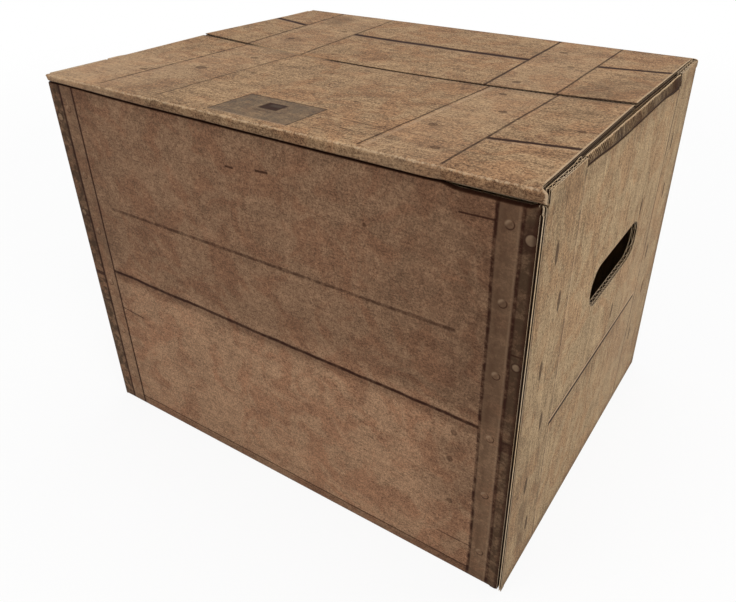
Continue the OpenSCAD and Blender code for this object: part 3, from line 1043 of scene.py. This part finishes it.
class PrintColours(bpy.types.PropertyGroup):
    """Colours of the crate print and of the bare board."""

    front_dark: colour_value("Front dark", "Dark tone of the front and back", "5e4634")
    front_light: colour_value("Front light", "Light tone of the front and back", "b79171")
    end_dark: colour_value("End dark", "Dark tone of the ends", "6f5a40")
    end_light: colour_value("End light", "Light tone of the ends", "d1b38b")
    top_dark: colour_value("Top dark", "Dark tone of the top", "5b4431")
    top_light: colour_value("Top light", "Light tone of the top", "c6a37c")
    stain: colour_value("Stain", "Reddish stains in the print, blended softly", "8c6a66")
    ink_and_shade: colour_value("Ink and Shade", "Printed seams, cracks and holes", "260d03")
    # Ink also colours the painted shade in creases, seams, cut edges and the board's hollows.
    shade: colour_value("Shade", "Printed shadows and stains", "3e271a")
    strap: colour_value("Strap", "Printed metal straps", "5e4836")
    post: colour_value("Post", "Printed corner posts", "3a2a1c")
    plate: colour_value("Plate", "Printed latch plate", "554a3f")
    shine: colour_value("Shine", "Lit edges of printed heads and boards", "c0a283")
    paper: colour_value("Paper", "Bare paper at rubbed folds", "c8ad8d")
    kraft: colour_value("Kraft", "Unprinted inside and cut edges", "c4ac8e")


# Printed marks, and a few bands of painted shade noted where they stand, in millimetres on each
# side, seen from outside with the origin at its lower left.
# Lines: direction, position, start, end, width, softness, colour, strength, slope, wander and
# patchiness.
# Heads: "nail", "rivet", "ring", "knot" or "eye", place along, place up, radius, strength.
# A line in direction "h" runs along at a height, its position; "v" runs up at a place along.
FRONT_MARKS = [
    # Painted shade on the wall under the top flap's lip.
    ("h", 304, -30, 430, 18, 10, "shade", 0.55, 0, 2, 0.3),
    ("h", 226, -30, 430, 160, 10, "shade", 0.42, 0, 3, 0.3),
    ("v", 365.5, 0, 305, 26, 12, "shade", 0.28, 0, 2, 0.5),
    ("v", 38.5, 0, 305, 20, 10, "shade", 0.22, 0, 2, 0.6),
    ("h", 142.0, 29.7, 373.4, 8, 3.5, "shade", 0.5, -0.0111, 0.8, 0.3),
    ("h", 144.8, 29.7, 373.4, 2.6, 0.7, "ink_and_shade", 0.97, -0.011, 0.8, 0.15),
    ("h", 226, 300, 374, 150, 20, "shade", 0.22, 0, 0, 0.3),
    ("h", 206.0, 46.6, 353.6, 2.4, 0.7, "ink_and_shade", 0.7, 0, 0.2, 0.35),
    ("h", 270.5, 179.8, 187.2, 1.4, 0.5, "ink_and_shade", 0.85, 0, 0, 0),
    ("h", 273.1, 206.4, 217.2, 1.6, 0.5, "ink_and_shade", 0.85, 0.05, 0, 0),
    ("h", 282.0, 351.7, 373.5, 1.1, 0.4, "ink_and_shade", 0.9, 0.03, 0.2, 0),
    ("h", 95, 335, 374, 60, 12, "shade", 0.25, 0, 2, 0.4),
    ("h", 108.2, 29.9, 56.8, 1.1, 0.4, "ink_and_shade", 0.9, -0.0875, 0.2, 0.2),
    ("h", 30.8, 346.7, 373.3, 1.1, 0.4, "shade", 0.9, 0, 0.2, 0.3),
    ("h", 4.0, -10, 410, 8, 1.6, "shade", 0.45, 0, 0, 0.3),
    ("h", 9.6, 29.3, 375.3, 1.2, 0.5, "ink_and_shade", 0.9, -0.0037, 0.3, 0.15),
    ("v", 6.6, -10, 330, 16.8, 0.6, "post", 0.9, 0, 0, 0.5),
    ("h", 136.5, -4, 15.5, 3.6, 0.8, "ink_and_shade", 0.9, 0, 0, 0.1),
    ("h", 109.2, -4, 15.6, 1.4, 0.5, "ink_and_shade", 0.8, 0, 0, 0.1),
    ("h", 191.7, -4, 15.2, 1.4, 0.5, "ink_and_shade", 0.8, 0, 0, 0.1),
    ("v", 23.3, -10, 330, 14, 0.5, "strap", 0.42, -0.003, 0, 0.4),
    ("v", 15.9, -10, 330, 2.4, 0.6, "ink_and_shade", 0.97, -0.003, 0.1, 0.1),
    ("v", 31.0, -10, 330, 2.0, 0.6, "ink_and_shade", 0.97, -0.003, 0.2, 0.1),
    ("v", 395.5, -10, 330, 13.4, 0.6, "post", 0.92, 0, 0, 0.3),
    ("h", 133.5, 389.0, 410, 8.4, 1.0, "ink_and_shade", 0.8, 0, 0, 0.2),
    ("h", 203.1, 389.1, 410, 1.2, 0.4, "ink_and_shade", 0.8, 0, 0, 0.1),
    ("v", 380.9, -10, 330, 14.2, 0.5, "strap", 0.8, 0, 0, 0.25),
    ("h", 226, 374, 388, 165, 8, "shade", 0.3, 0, 0, 0.3),
    ("v", 373.6, -10, 330, 2.2, 0.7, "ink_and_shade", 0.95, 0, 0.5, 0.45),
    ("v", 388.4, -10, 330, 2.2, 0.7, "ink_and_shade", 0.95, 0, 0.4, 0.3),
    ("v", 378.3, -10, 330, 3, 2, "shade", 0.3, 0, 1, 0.7),
    ("h", 276.4, 389.1, 410, 17, 3, "ink_and_shade", 0.6, 0, 0, 0.1),
    ("v", 386.2, -10, 330, 1.0, 0.6, "shine", 0.10, 0, 0, 0.7),
] + [("rivet", a, z, 2.7, 0.8) for a, z in (
    (21.3, 281.6), (21.5, 228.6), (21.7, 179.4), (22.0, 130.8), (22.2, 80.8), (22.4, 30.9))] + [
    ("rivet", 381.2, z, 2.7, 0.9) for z in (282.2, 234.5, 184.6, 135.2, 85.7, 29.7)] + [
    ("ring", 393.7, 276.4, 3.7, 0.95), ("ring", 393.0, 195.3, 2.8, 0.9),
    ("ring", 8.2, 273.2, 3.2, 0.8), ("ring", 8.0, 193.2, 3.0, 0.8),
    ("nail", 290.2, 257.4, 1.1, 0.8), ("nail", 356.5, 128.1, 2.0, 0.7),
    ("nail", 354.4, 104.2, 2.0, 0.8), ("nail", 356.1, 65.8, 2.0, 0.7)]

END_MARKS = [
    ("v", 26, -10, 320, 56, 1.5, "shade", 0.16, 0, 0.5, 0.2),
    # The next two bands darken the end towards its bottom edge and towards its back corner.
    ("h", 3, -10, 330, 12, 6, "shade", 0.45, 0, 0, 0.2),
    ("v", 310, -10, 330, 14, 7, "shade", 0.4, 0, 0, 0.2),
    ("h", 75, -10, 330, 120, 40, "shade", 0.08, 0, 0, 0.2),
    # Painted shade on the end wall under the end flap's fold.
    ("h", 294, -10, 330, 10, 6, "shade", 0.25, 0, 0, 0.4),
    ("v", 53.7, -10, 300, 1.4, 0.6, "ink_and_shade", 0.7, 0.0045, 0.4, 0.8),
    ("v", 55.6, -10, 292, 2.0, 0.8, "shine", 0.3, 0.0045, 0.4, 0.5),
    ("v", 243.0, -10, 292.5, 3.0, 1.3, "shade", 0.75, 0.0643, 0.6, 0.4),
    ("v", 240.6, -10, 292.5, 1.8, 0.8, "shine", 0.3, 0.0642, 0.6, 0.4),
    ("h", 115.5, 53.5, 244.8, 3.0, 0.6, "ink_and_shade", 1.0, 0.0086, 0.15, 0.05),
    ("h", 118.2, 53.5, 244.9, 2.0, 0.5, "shine", 0.9, 0.0085, 0.15, 0.3),
    ("h", 120.0, 53.5, 200, 1.2, 0.5, "ink_and_shade", 0.6, 0.0085, 0.3, 0.8),
    ("h", 110.0, 84.9, 205.5, 9, 5, "shade", 0.28, 0.0088, 3, 0.9),
    ("h", 122.5, 65.5, 191.2, 8, 5, "shade", 0.28, 0.0083, 3, 0.9),
    ("v", 24.3, 18.3, 66.8, 16, 8, "shade", 0.35, 0, 3, 0.3),
    ("v", 240, -10, 180, 110, 40, "shine", 0.14, 0, 0, 0.2),
] + [("eye", a, b, 6.5, 1.0) for a, b in (
    (23.4, 260.4), (38.4, 222.0), (22.4, 181.6), (36.1, 132.1), (23.4, 84.2), (35.1, 36.6),
    (273.7, 248.8), (281.3, 202.8), (265.3, 151.9), (277.2, 109.5), (262.2, 66.9),
    (175.0, 139.9), (208.3, 215.7))]

TOP_MARKS = [
    # The next two bands are painted shade on the faces of the front and back lips.
    ("h", -5.2, -30, 430, 9, 1.6, "shade", 0.5, 0, 0.3, 0.2),
    ("h", 321.2, -30, 430, 9, 1.6, "shade", 0.5, 0, 0.3, 0.2),
    ("v", 15, -30, 90, 110, 45, "shine", 0.3, 0, 3, 0.2),
    ("v", 86.2, -30, 157, 56, 0.6, "shine", 0.10, 0.005, 0.2, 0.3),
    ("v", 86.7, 155, 350, 60, 0.6, "shine", 0.10, -0.0651, 0.2, 0.3),
    ("v", 313.6, -30, 157, 52, 0.6, "shine", 0.10, 0.0372, 0.2, 0.3),
    ("v", 313.2, 155, 350, 54, 0.6, "shine", 0.10, -0.0128, 0.2, 0.3),
    ("v", 57.8, 6, 157, 1.8, 0.6, "ink_and_shade", 0.85, 0.0055, 0.4, 0.35),
    ("v", 113.9, 6, 157, 1.7, 0.6, "ink_and_shade", 0.75, 0.0044, 0.4, 0.4),
    ("v", 57.1, 155, 350, 2.2, 0.7, "ink_and_shade", 0.9, -0.0714, 0.4, 0.3),
    ("v", 116.4, 155, 350, 1.9, 0.7, "ink_and_shade", 0.85, -0.0577, 0.4, 0.35),
    ("v", 284.2, 3, 157, 1.4, 0.5, "ink_and_shade", 0.9, 0.0464, 0.3, 0.2),
    ("v", 288.0, 3, 157, 3.0, 0.8, "shine", 0.35, 0.0408, 0.3, 0.3),
    ("v", 338.6, 3, 157, 1.7, 0.5, "ink_and_shade", 0.9, 0.0278, 0.3, 0.2),
    ("v", 286.0, 155, 350, 2.3, 0.6, "ink_and_shade", 0.95, -0.0149, 0.3, 0.1),
    ("v", 340.4, 155, 350, 1.7, 0.5, "ink_and_shade", 0.9, -0.0113, 0.3, 0.15),
    ("h", 256.5, 0, 48.8, 8, 3, "shade", 0.6, -0.1966, 0.8, 0.2),
    ("h", 258.2, 0, 48.8, 5.2, 0.9, "ink_and_shade", 1.0, -0.2266, 0.8, 0.05),
    ("h", 253.8, 0, 48.8, 3.0, 1.2, "shine", 0.3, -0.2266, 0.8, 0.3),
    ("h", 239.5, 110.9, 284.7, 9, 3, "shade", 0.6, 0.0032, 0.8, 0.2),
    ("h", 241.6, 111.0, 284.7, 5.6, 0.9, "ink_and_shade", 1.0, -0.0047, 0.8, 0.05),
    ("h", 237.0, 111.0, 284.7, 3.0, 1.2, "shine", 0.3, -0.0047, 0.8, 0.3),
    ("h", 245.1, 340.4, 402, 5.4, 0.9, "ink_and_shade", 1.0, 0.1426, 0.8, 0.05),
    ("h", 52.8, 340.4, 397, 3.7, 0.7, "ink_and_shade", 1.0, 0.1676, 0.5, 0.05),
    ("h", 49.2, 340.4, 397, 2.4, 1.0, "shine", 0.3, 0.1676, 0.5, 0.3),
    ("h", 26.3, 164.8, 230.0, 41, 0.7, "plate", 0.75, 0, 0, 0.25),
    ("h", 46.5, 164.9, 230.0, 1.2, 0.5, "ink_and_shade", 0.8, 0, 0, 0.2),
    ("h", 6.2, 164.8, 229.9, 1.0, 0.5, "shine", 0.4, 0, 0, 0.3),
    ("v", 165.0, 5.8, 46.6, 1.2, 0.5, "ink_and_shade", 0.7, 0.0033, 0, 0.2),
    ("v", 229.8, 5.8, 46.7, 1.2, 0.5, "ink_and_shade", 0.7, 0.002, 0, 0.2),
    ("h", 31.5, 189.6, 205.4, 12.6, 0.9, "ink_and_shade", 0.94, 0, 0, 0),
    ("h", 33.6, 194.5, 203.4, 4.2, 1.4, "plate", 0.45, 0, 0, 0),
    ("h", 21.0, 189.7, 205.5, 2.2, 0.8, "ink_and_shade", 0.4, 0, 0, 0.2),
    ("h", 35.0, 256.8, 271.7, 1.2, 0.5, "shade", 0.8, 0.0506, 0.3, 0.2),
    ("h", 21.6, 257.8, 268.7, 1.5, 0.6, "ink_and_shade", 0.6, 0, 0.3, 0.2),
    ("v", 65.1, 262.7, 298.8, 20, 9, "shade", 0.45, 0.0054, 3, 0.3),
    # Painted shade along the seam between the two flaps.
    ("h", 155, -10, 410, 6, 4, "shade", 0.25, 0, 0, 0.3),
    ("h", 3.8, 63.7, 112.8, 30, 14, "shade", 0.25, 0, 3, 0.4),
    ("h", 172, 352, 386, 34, 12, "shade", 0.4, 0, 4, 0.6),
    ("h", 205, 360, 398, 22, 10, "shade", 0.3, 0, 4, 0.6),
    ("h", 120, 350, 384, 16, 9, "shade", 0.3, 0, 4, 0.6),
] + [("knot", a, b, r, 0.9) for a, b, r in (
    (96.8, 245.3, 2.0), (74.0, 196.2, 2.2), (94.2, 125.8, 2.4), (83.3, 78.3, 3.4),
    (51.6, 49.9, 2.2), (126.7, 89.9, 1.6), (300.3, 276.5, 2.4), (322.1, 235.1, 1.8),
    (303.6, 175.3, 2.4), (308.7, 141.9, 1.9), (326.4, 103.6, 2.0), (301.9, 57.4, 2.2),
    (323.6, 22.7, 2.0), (383.9, 89.7, 1.8))]


# The colours that marks are printed in.
MARK_COLOURS = ("ink_and_shade", "shade", "strap", "post", "plate", "shine", "stain")

# How strongly each print shows its fibres, soft clouds, speckle and pores.
TEXTURES = {
    "front": dict(Fibre=0.6, Cloud=0.6, Speckle=1.35, Pores=0.4),
    "end": dict(Fibre=1.3, Cloud=0.5, Speckle=1.5, Pores=0.75),
    "top": dict(Fibre=1.1, Cloud=0.8, Speckle=1.6, Pores=0.9),
    "kraft": dict(Fibre=0.4, Cloud=0.3, Speckle=0.8, Pores=0.2),
}


def add_marks(w, marks, colours, along, up, colour, waver, patch):
    """Lays the printed marks over a colour, one after another."""
    for mark in marks:
        if mark[0] in ("h", "v"):
            kind, position, start, end, width, soft, ink_and_shade, strength, slope, wander, patchy = mark
            lengthwise, across = (along, up) if kind == "h" else (up, along)
            line = w.group(
                "Bar Mark", Along=lengthwise, Across=across, Position=position, Slope=slope,
                Start=start, End=end, Width=width, Softness=soft, Waver=waver, Wander=wander,
                Patch=patch, Patchiness=patchy)
            share = w.math("MULTIPLY", line.outputs["Mask"], strength)
            colour = w.blend(share, colour, colours[ink_and_shade])
            continue
        kind, a, b, radius, strength = mark
        head = w.group(
            "Round Mark", Along=along, Across=up, Centre_Along=a, Centre_Across=b, Radius=radius,
            Softness={"rivet": 0.7, "ring": 1.1, "eye": 2.0}.get(kind, 0.8),
            Stretch={"knot": 1.25, "eye": 0.3}.get(kind, 1),
            Rim_Above=0.1 if kind == "rivet" else 1.0)
        disc, rim, lit = (head.outputs[name] for name in ("Disc", "Rim", "Lit"))
        if kind in ("rivet", "ring"):
            if kind == "ring":
                lit = w.math("MULTIPLY_ADD", disc, 0.7, w.math("MULTIPLY", lit, 0.3))
            colour = w.blend(w.math("MULTIPLY", lit, 0.3 * strength), colour, colours["shine"])
        else:
            share = w.math("MULTIPLY", disc, (0.65 if kind == "knot" else 0.75) * strength)
            colour = w.blend(share, colour, colours["shade"])
        rim_ink = (0.9 if kind in ("rivet", "ring") else 0.55) * strength
        colour = w.blend(w.math("MULTIPLY", rim, rim_ink), colour, colours["ink_and_shade"])
    return colour


def print_material(name, look, marks, tones, grain, seed, start=None):
    """The printed liner of one side. start is the sheet place of its left edge, None on flaps."""
    material = bpy.data.materials.new(name)
    material.use_nodes = True
    w = Wiring(material.node_tree)
    surface = material.node_tree.nodes["Principled BSDF"]
    colours = {key: (*getattr(look, key), 1) for key in MARK_COLOURS}
    sheet = w.add("ShaderNodeAttribute", attribute_name=SHEET).outputs["Vector"]
    split = w.add("ShaderNodeSeparateXYZ", {0: sheet}).outputs
    along = w.math("MULTIPLY", split[0], 1000)
    if start is not None:
        along = w.math("SUBTRACT", start, along)
    up = w.math("MULTIPLY", split[1], 1000)
    wear_and_shade = w.add("ShaderNodeAttribute", attribute_name=WEAR_AND_SHADE).outputs["Fac"]
    lengthwise, across = (along, up) if grain == "h" else (up, along)
    dark, light = ((*getattr(look, tones + end), 1) for end in ("_dark", "_light"))
    wood = w.group("Old Wood", Along=lengthwise, Across=across, Seed=seed, Dark=dark,
                   Light=light, Stain=colours["stain"], **TEXTURES[tones])
    field = w.noise(w.place(along, up, seed + 5), 0.028, 3, 0.6)
    waver = w.math("MULTIPLY_ADD", field, 4, -2)
    patch = w.step(w.noise(w.place(along, up, seed + 9), 0.16, 3, 0.65), 0.38, 0.6)
    colour = add_marks(w, marks, colours, along, up, wood.outputs["Color"], waver, patch)
    # Rubbed folds show paper, and negative wear paints shade in creases, seams and under the lip.
    scuff_and_shade = w.group("Edge Scuff And Shade", Color=colour, Wear=wear_and_shade, Along=along, Across=up,
                    Paper=(*look.paper, 1), Dirt=colours["ink_and_shade"], Amount=1.0)
    w.feed(surface.inputs["Base Color"], scuff_and_shade.outputs["Color"])
    relief = w.group("Board Relief", Along=along, Across=up, Grain=wood.outputs["Fibres"],
                     Scuff=scuff_and_shade.outputs["Scuff"], Flutes=1.0)
    bump = w.add("ShaderNodeBump", {
        "Strength": 0.55, "Distance": 0.001, "Height": relief.outputs["Height"]})
    w.feed(surface.inputs["Normal"], bump.outputs["Normal"])
    rough = w.math("MULTIPLY_ADD", wood.outputs["Tone"], 0.12, 0.66)
    rough = w.math("MULTIPLY_ADD", scuff_and_shade.outputs["Scuff"], 0.15, rough, clamp=True)
    w.feed(surface.inputs["Roughness"], rough)
    surface.inputs["Specular IOR Level"].default_value = 0.08
    return material


def kraft_material(look):
    """Bare kraft paper, with fibres, faint lines of painted shade over the flutes behind it, darker
    flecks, and painted shade in the board's hollows.
    """
    material = bpy.data.materials.new("raw_kraft")
    material.use_nodes = True
    w = Wiring(material.node_tree)
    surface = material.node_tree.nodes["Principled BSDF"]
    sheet = w.add("ShaderNodeAttribute", attribute_name=SHEET).outputs["Vector"]
    split = w.add("ShaderNodeSeparateXYZ", {0: sheet}).outputs
    along, up = (w.math("MULTIPLY", split[k], 1000) for k in (0, 1))
    wear_and_shade = w.add("ShaderNodeAttribute", attribute_name=WEAR_AND_SHADE).outputs["Fac"]
    base = tuple(look.kraft)
    dark, light = [v * 0.62 for v in base], [min(1, v * 1.3) for v in base]
    wood = w.group("Old Wood", Along=up, Across=along, Seed=40, Dark=(*dark, 1),
                   Light=(*light, 1), Stain=(*base, 1), **TEXTURES["kraft"])
    # Faint painted shade of the washboard over the coarse flutes.
    flute_shade_wave = w.math("SINE", w.math("MULTIPLY", along, 2 * math.pi / COARSE_PITCH))
    shaded = w.blend(w.step(flute_shade_wave, 0.2, 1, 0, 0.12), wood.outputs["Color"], (*look.shade, 1))
    # Negative wear paints the board's hollows and shaded cut edges dark, in the ink colour.
    hollow_shade = w.step(wear_and_shade, -0.15, -0.9, 0, 0.93, soft=False)
    w.feed(surface.inputs["Base Color"], w.blend(hollow_shade, shaded, (*look.ink_and_shade, 1)))
    relief = w.group("Board Relief", Along=along, Across=up, Grain=wood.outputs["Fibres"],
                     Scuff=0.0, Flutes=2.0)
    bump = w.add("ShaderNodeBump", {
        "Strength": 0.5, "Distance": 0.001, "Height": relief.outputs["Height"]})
    w.feed(surface.inputs["Normal"], bump.outputs["Normal"])
    w.feed(surface.inputs["Roughness"], w.math("MULTIPLY_ADD", wood.outputs["Tone"], 0.1, 0.8))
    surface.inputs["Specular IOR Level"].default_value = 0.2
    return material


# The printed walls: side, marks, tones, direction of the grain and seed.
PRINTS = (
    ("front", FRONT_MARKS, "front", "h", 1), ("left", END_MARKS, "end", "v", 12),
    ("back", FRONT_MARKS, "front", "h", 23), ("right", END_MARKS, "end", "v", 3))


def carton_materials(shape, look):
    """The materials of the walls, in the order of FINISH_OF, and the bare board's as RAW."""
    starts = panel_starts(shape)
    made = [print_material("crate_print_" + side, look, marks, tones, grain, seed, starts[side])
            for side, marks, tones, grain, seed in PRINTS]
    return made + [kraft_material(look)]


def flap_materials(look):
    """The flaps' print as TOP_PRINT and the bare board of the carton as TOP_RAW."""
    top = print_material("crate_print_top", look, TOP_MARKS, "top", "h", 6)
    return [top, bpy.data.materials["raw_kraft"]]


class StageLook(bpy.types.PropertyGroup):
    """The floor, the lights and the camera."""

    floor: bpy.props.FloatVectorProperty(
        name="Floor", description="Colour of the floor", subtype="COLOR", size=3,
        default=(0.93, 0.93, 0.93), min=0, max=1)
    surround: bpy.props.FloatProperty(
        name="Surround", description="Strength of the even light from all sides",
        default=0.42, min=0)
    lamps: bpy.props.FloatProperty(
        name="Lamps", description="Factor on the power of all lamps", default=0.75, min=0)
    lens: bpy.props.FloatProperty(
        name="Lens", description="Focal length of the camera in millimetres", default=34.06, min=1)


# Soft lamps: name, place, size and power.
LAMPS = (
    ("key_light", (2.2, -1.4, 2.4), 1.8, 60.0),
    ("fill_light", (-1.6, -2.4, 1.6), 2.2, 25.0),
    ("top_light", (0.0, 0.6, 3.0), 2.0, 30.0),
)
LAMPS_AIM = (0, 0, 0.15)
# Half the floor's side, how far it lies under the object, and its white share by distance.
FLOOR_HALF, FLOOR_DROP = 6.0, 0.0004
WHITE_NEAR, WHITE_FAR = (0.6, 0.88), (1.8, 1.0)
# The camera's place, its picture's right and up, and the shift of its picture.
CAMERA_PLACE = (0.3047, -0.4562, 0.4397)
CAMERA_RIGHT, CAMERA_UP = (0.84211, 0.53930, 0.00246), (-0.27741, 0.42924, 0.85953)
CAMERA_SHIFT = (-0.04159, -0.03166)

# The large flaps: body, side, how much narrower each end is, and how high the ends are bowed.
FLAPS = (("front_flap", -1, 5.5, 1.8), ("back_flap", 1, 4.9, 2.6))


def seen_directly(wiring):
    """1 for rays that show the background: from the camera, in a mirror or through glass."""
    rays = wiring.add("ShaderNodeLightPath").outputs
    shown = wiring.math("MAXIMUM", rays["Is Camera Ray"], rays["Is Glossy Ray"])
    return wiring.math("MAXIMUM", shown, rays["Is Transmission Ray"])


def floor_material(colour):
    """A pale floor that shows white round the object and keeps the object's shadow."""
    material = bpy.data.materials.new("pale_floor")
    material.use_nodes = True
    wiring = Wiring(material.node_tree)
    surface = material.node_tree.nodes["Principled BSDF"]
    surface.inputs["Base Color"].default_value = (*colour, 1)
    surface.inputs["Roughness"].default_value = 0.9
    surface.inputs["Specular IOR Level"].default_value = 0.1
    white = wiring.add("ShaderNodeEmission", {"Color": (1, 1, 1, 1), "Strength": 1.0})
    position = wiring.add("ShaderNodeNewGeometry").outputs["Position"]
    length = wiring.add("ShaderNodeVectorMath", {0: position}, operation="LENGTH")
    (near, least), (far, most) = WHITE_NEAR, WHITE_FAR
    whiteness = wiring.step(length.outputs["Value"], near, far, least, most)
    share = wiring.math("MULTIPLY", seen_directly(wiring), whiteness)
    mixed = wiring.add(
        "ShaderNodeMixShader", {0: share, 1: surface.outputs[0], 2: white.outputs[0]})
    end = material.node_tree.nodes["Material Output"]
    wiring.feed(end.inputs["Surface"], mixed.outputs[0])
    return material


# Operators.


class CARTON_OT_board(bpy.types.Operator):
    """Build the carton: walls, base and folded end flaps, as five plies of one sheet"""

    bl_idname = "carton.board"
    bl_label = "Carton board"

    def execute(self, context):
        shape = Shape(context.scene.carton_sizes)
        materials = carton_materials(shape, context.scene.carton_print)
        for ply in PLIES:
            patches = carton_patches(shape, DETAIL[ply[0]])
            if ply[0] != PRINTED:
                for patch in patches:
                    patch.finish = RAW
            piece = board_ply("carton_" + ply[0], patches, ply, materials, RAW)
            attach(piece, "carton")
            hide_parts("carton")
        return {"FINISHED"}


class CARTON_OT_flaps(bpy.types.Operator):
    """Build the two large top flaps, each as five plies"""

    bl_idname = "carton.flaps"
    bl_label = "Top flaps"

    def execute(self, context):
        shape = Shape(context.scene.carton_sizes)
        materials = flap_materials(context.scene.carton_print)
        for body, side, inset, lift in FLAPS:
            for ply in PLIES:
                detail = DETAIL[ply[0]]
                patches = flap_patches(shape, detail["step"], side, inset, lift, detail["tear"])
                for patch in patches:
                    patch.finish = TOP_PRINT if ply[0] == PRINTED else TOP_RAW
                piece = board_ply(body + "_" + ply[0], patches, ply, materials, TOP_RAW)
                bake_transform(piece)
                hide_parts(body)
        return {"FINISHED"}


class CARTON_OT_stage(bpy.types.Operator):
    """Lay the pale floor and set the lights and the camera"""

    bl_idname = "carton.stage"
    bl_label = "Floor, lights and camera"

    def execute(self, context):
        scene = context.scene
        look = scene.carton_stage
        mesh = bpy.data.meshes.new("floor")
        signs = ((-1, -1), (1, -1), (1, 1), (-1, 1))
        corners = [(a * FLOOR_HALF, b * FLOOR_HALF, 0) for a, b in signs]
        mesh.from_pydata(corners, [], [(0, 1, 2, 3)])
        floor = bpy.data.objects.new("floor", mesh)
        scene.collection.objects.link(floor)
        floor.location.z = -FLOOR_DROP
        mesh.materials.append(floor_material(look.floor))
        world = bpy.data.worlds.new("studio")
        scene.world = world
        world.use_nodes = True
        wiring = Wiring(world.node_tree)
        background = world.node_tree.nodes["Background"]
        background.inputs["Color"].default_value = (1, 1, 1, 1)
        strength = wiring.step(seen_directly(wiring), 0, 1, look.surround, 1.0, soft=False)
        wiring.feed(background.inputs["Strength"], strength)
        for name, place, size, power in LAMPS:
            light = bpy.data.lights.new(name, "AREA")
            light.shape, light.size, light.energy = "DISK", size, power * look.lamps
            lamp = bpy.data.objects.new(name, light)
            scene.collection.objects.link(lamp)
            lamp.location = place
            aim = Vector(LAMPS_AIM) - lamp.location
            lamp.rotation_euler = aim.to_track_quat("-Z", "Y").to_euler()
        camera = bpy.data.cameras.new("camera")
        camera.sensor_width, camera.lens = 36.0, look.lens
        camera.shift_x, camera.shift_y = CAMERA_SHIFT
        camera.clip_start, camera.clip_end = 0.01, 50
        view = bpy.data.objects.new("camera", camera)
        scene.collection.objects.link(view)
        right, up = Vector(CAMERA_RIGHT), Vector(CAMERA_UP)
        turn = Matrix((right, up, right.cross(up))).transposed().to_4x4()
        view.matrix_world = Matrix.Translation(CAMERA_PLACE) @ turn
        scene.camera = view
        scene.view_settings.view_transform = "Standard"
        return {"FINISHED"}


class CARTON_PT_panel(bpy.types.Panel):
    """The carton's building steps and values"""

    bl_label = "Crate print carton"
    bl_idname = "CARTON_PT_panel"
    bl_space_type = "VIEW_3D"
    bl_region_type = "UI"
    bl_category = "Carton"

    def draw(self, context):
        scene = context.scene
        for group in (scene.carton_sizes, scene.carton_print, scene.carton_stage):
            for name in group.bl_rna.properties.keys():
                if name not in ("rna_type", "name"):
                    self.layout.prop(group, name)
        for step in STEPS:
            self.layout.operator(step)


STEPS = ("carton.board", "carton.flaps", "carton.stage")
CLASSES = (CartonSizes, PrintColours, StageLook, CARTON_OT_board, CARTON_OT_flaps,
           CARTON_OT_stage, CARTON_PT_panel)


def register():
    for item in CLASSES:
        bpy.utils.register_class(item)
    bpy.types.Scene.carton_sizes = bpy.props.PointerProperty(type=CartonSizes)
    bpy.types.Scene.carton_print = bpy.props.PointerProperty(type=PrintColours)
    bpy.types.Scene.carton_stage = bpy.props.PointerProperty(type=StageLook)


def unregister():
    del bpy.types.Scene.carton_stage
    del bpy.types.Scene.carton_print
    del bpy.types.Scene.carton_sizes
    for item in reversed(CLASSES):
        bpy.utils.unregister_class(item)


def main():
    register()
    for make in GROUPS:
        make()
    bpy.ops.carton.board()
    bpy.ops.carton.flaps()
    bpy.ops.carton.stage()


if __name__ == "__main__":
    main()
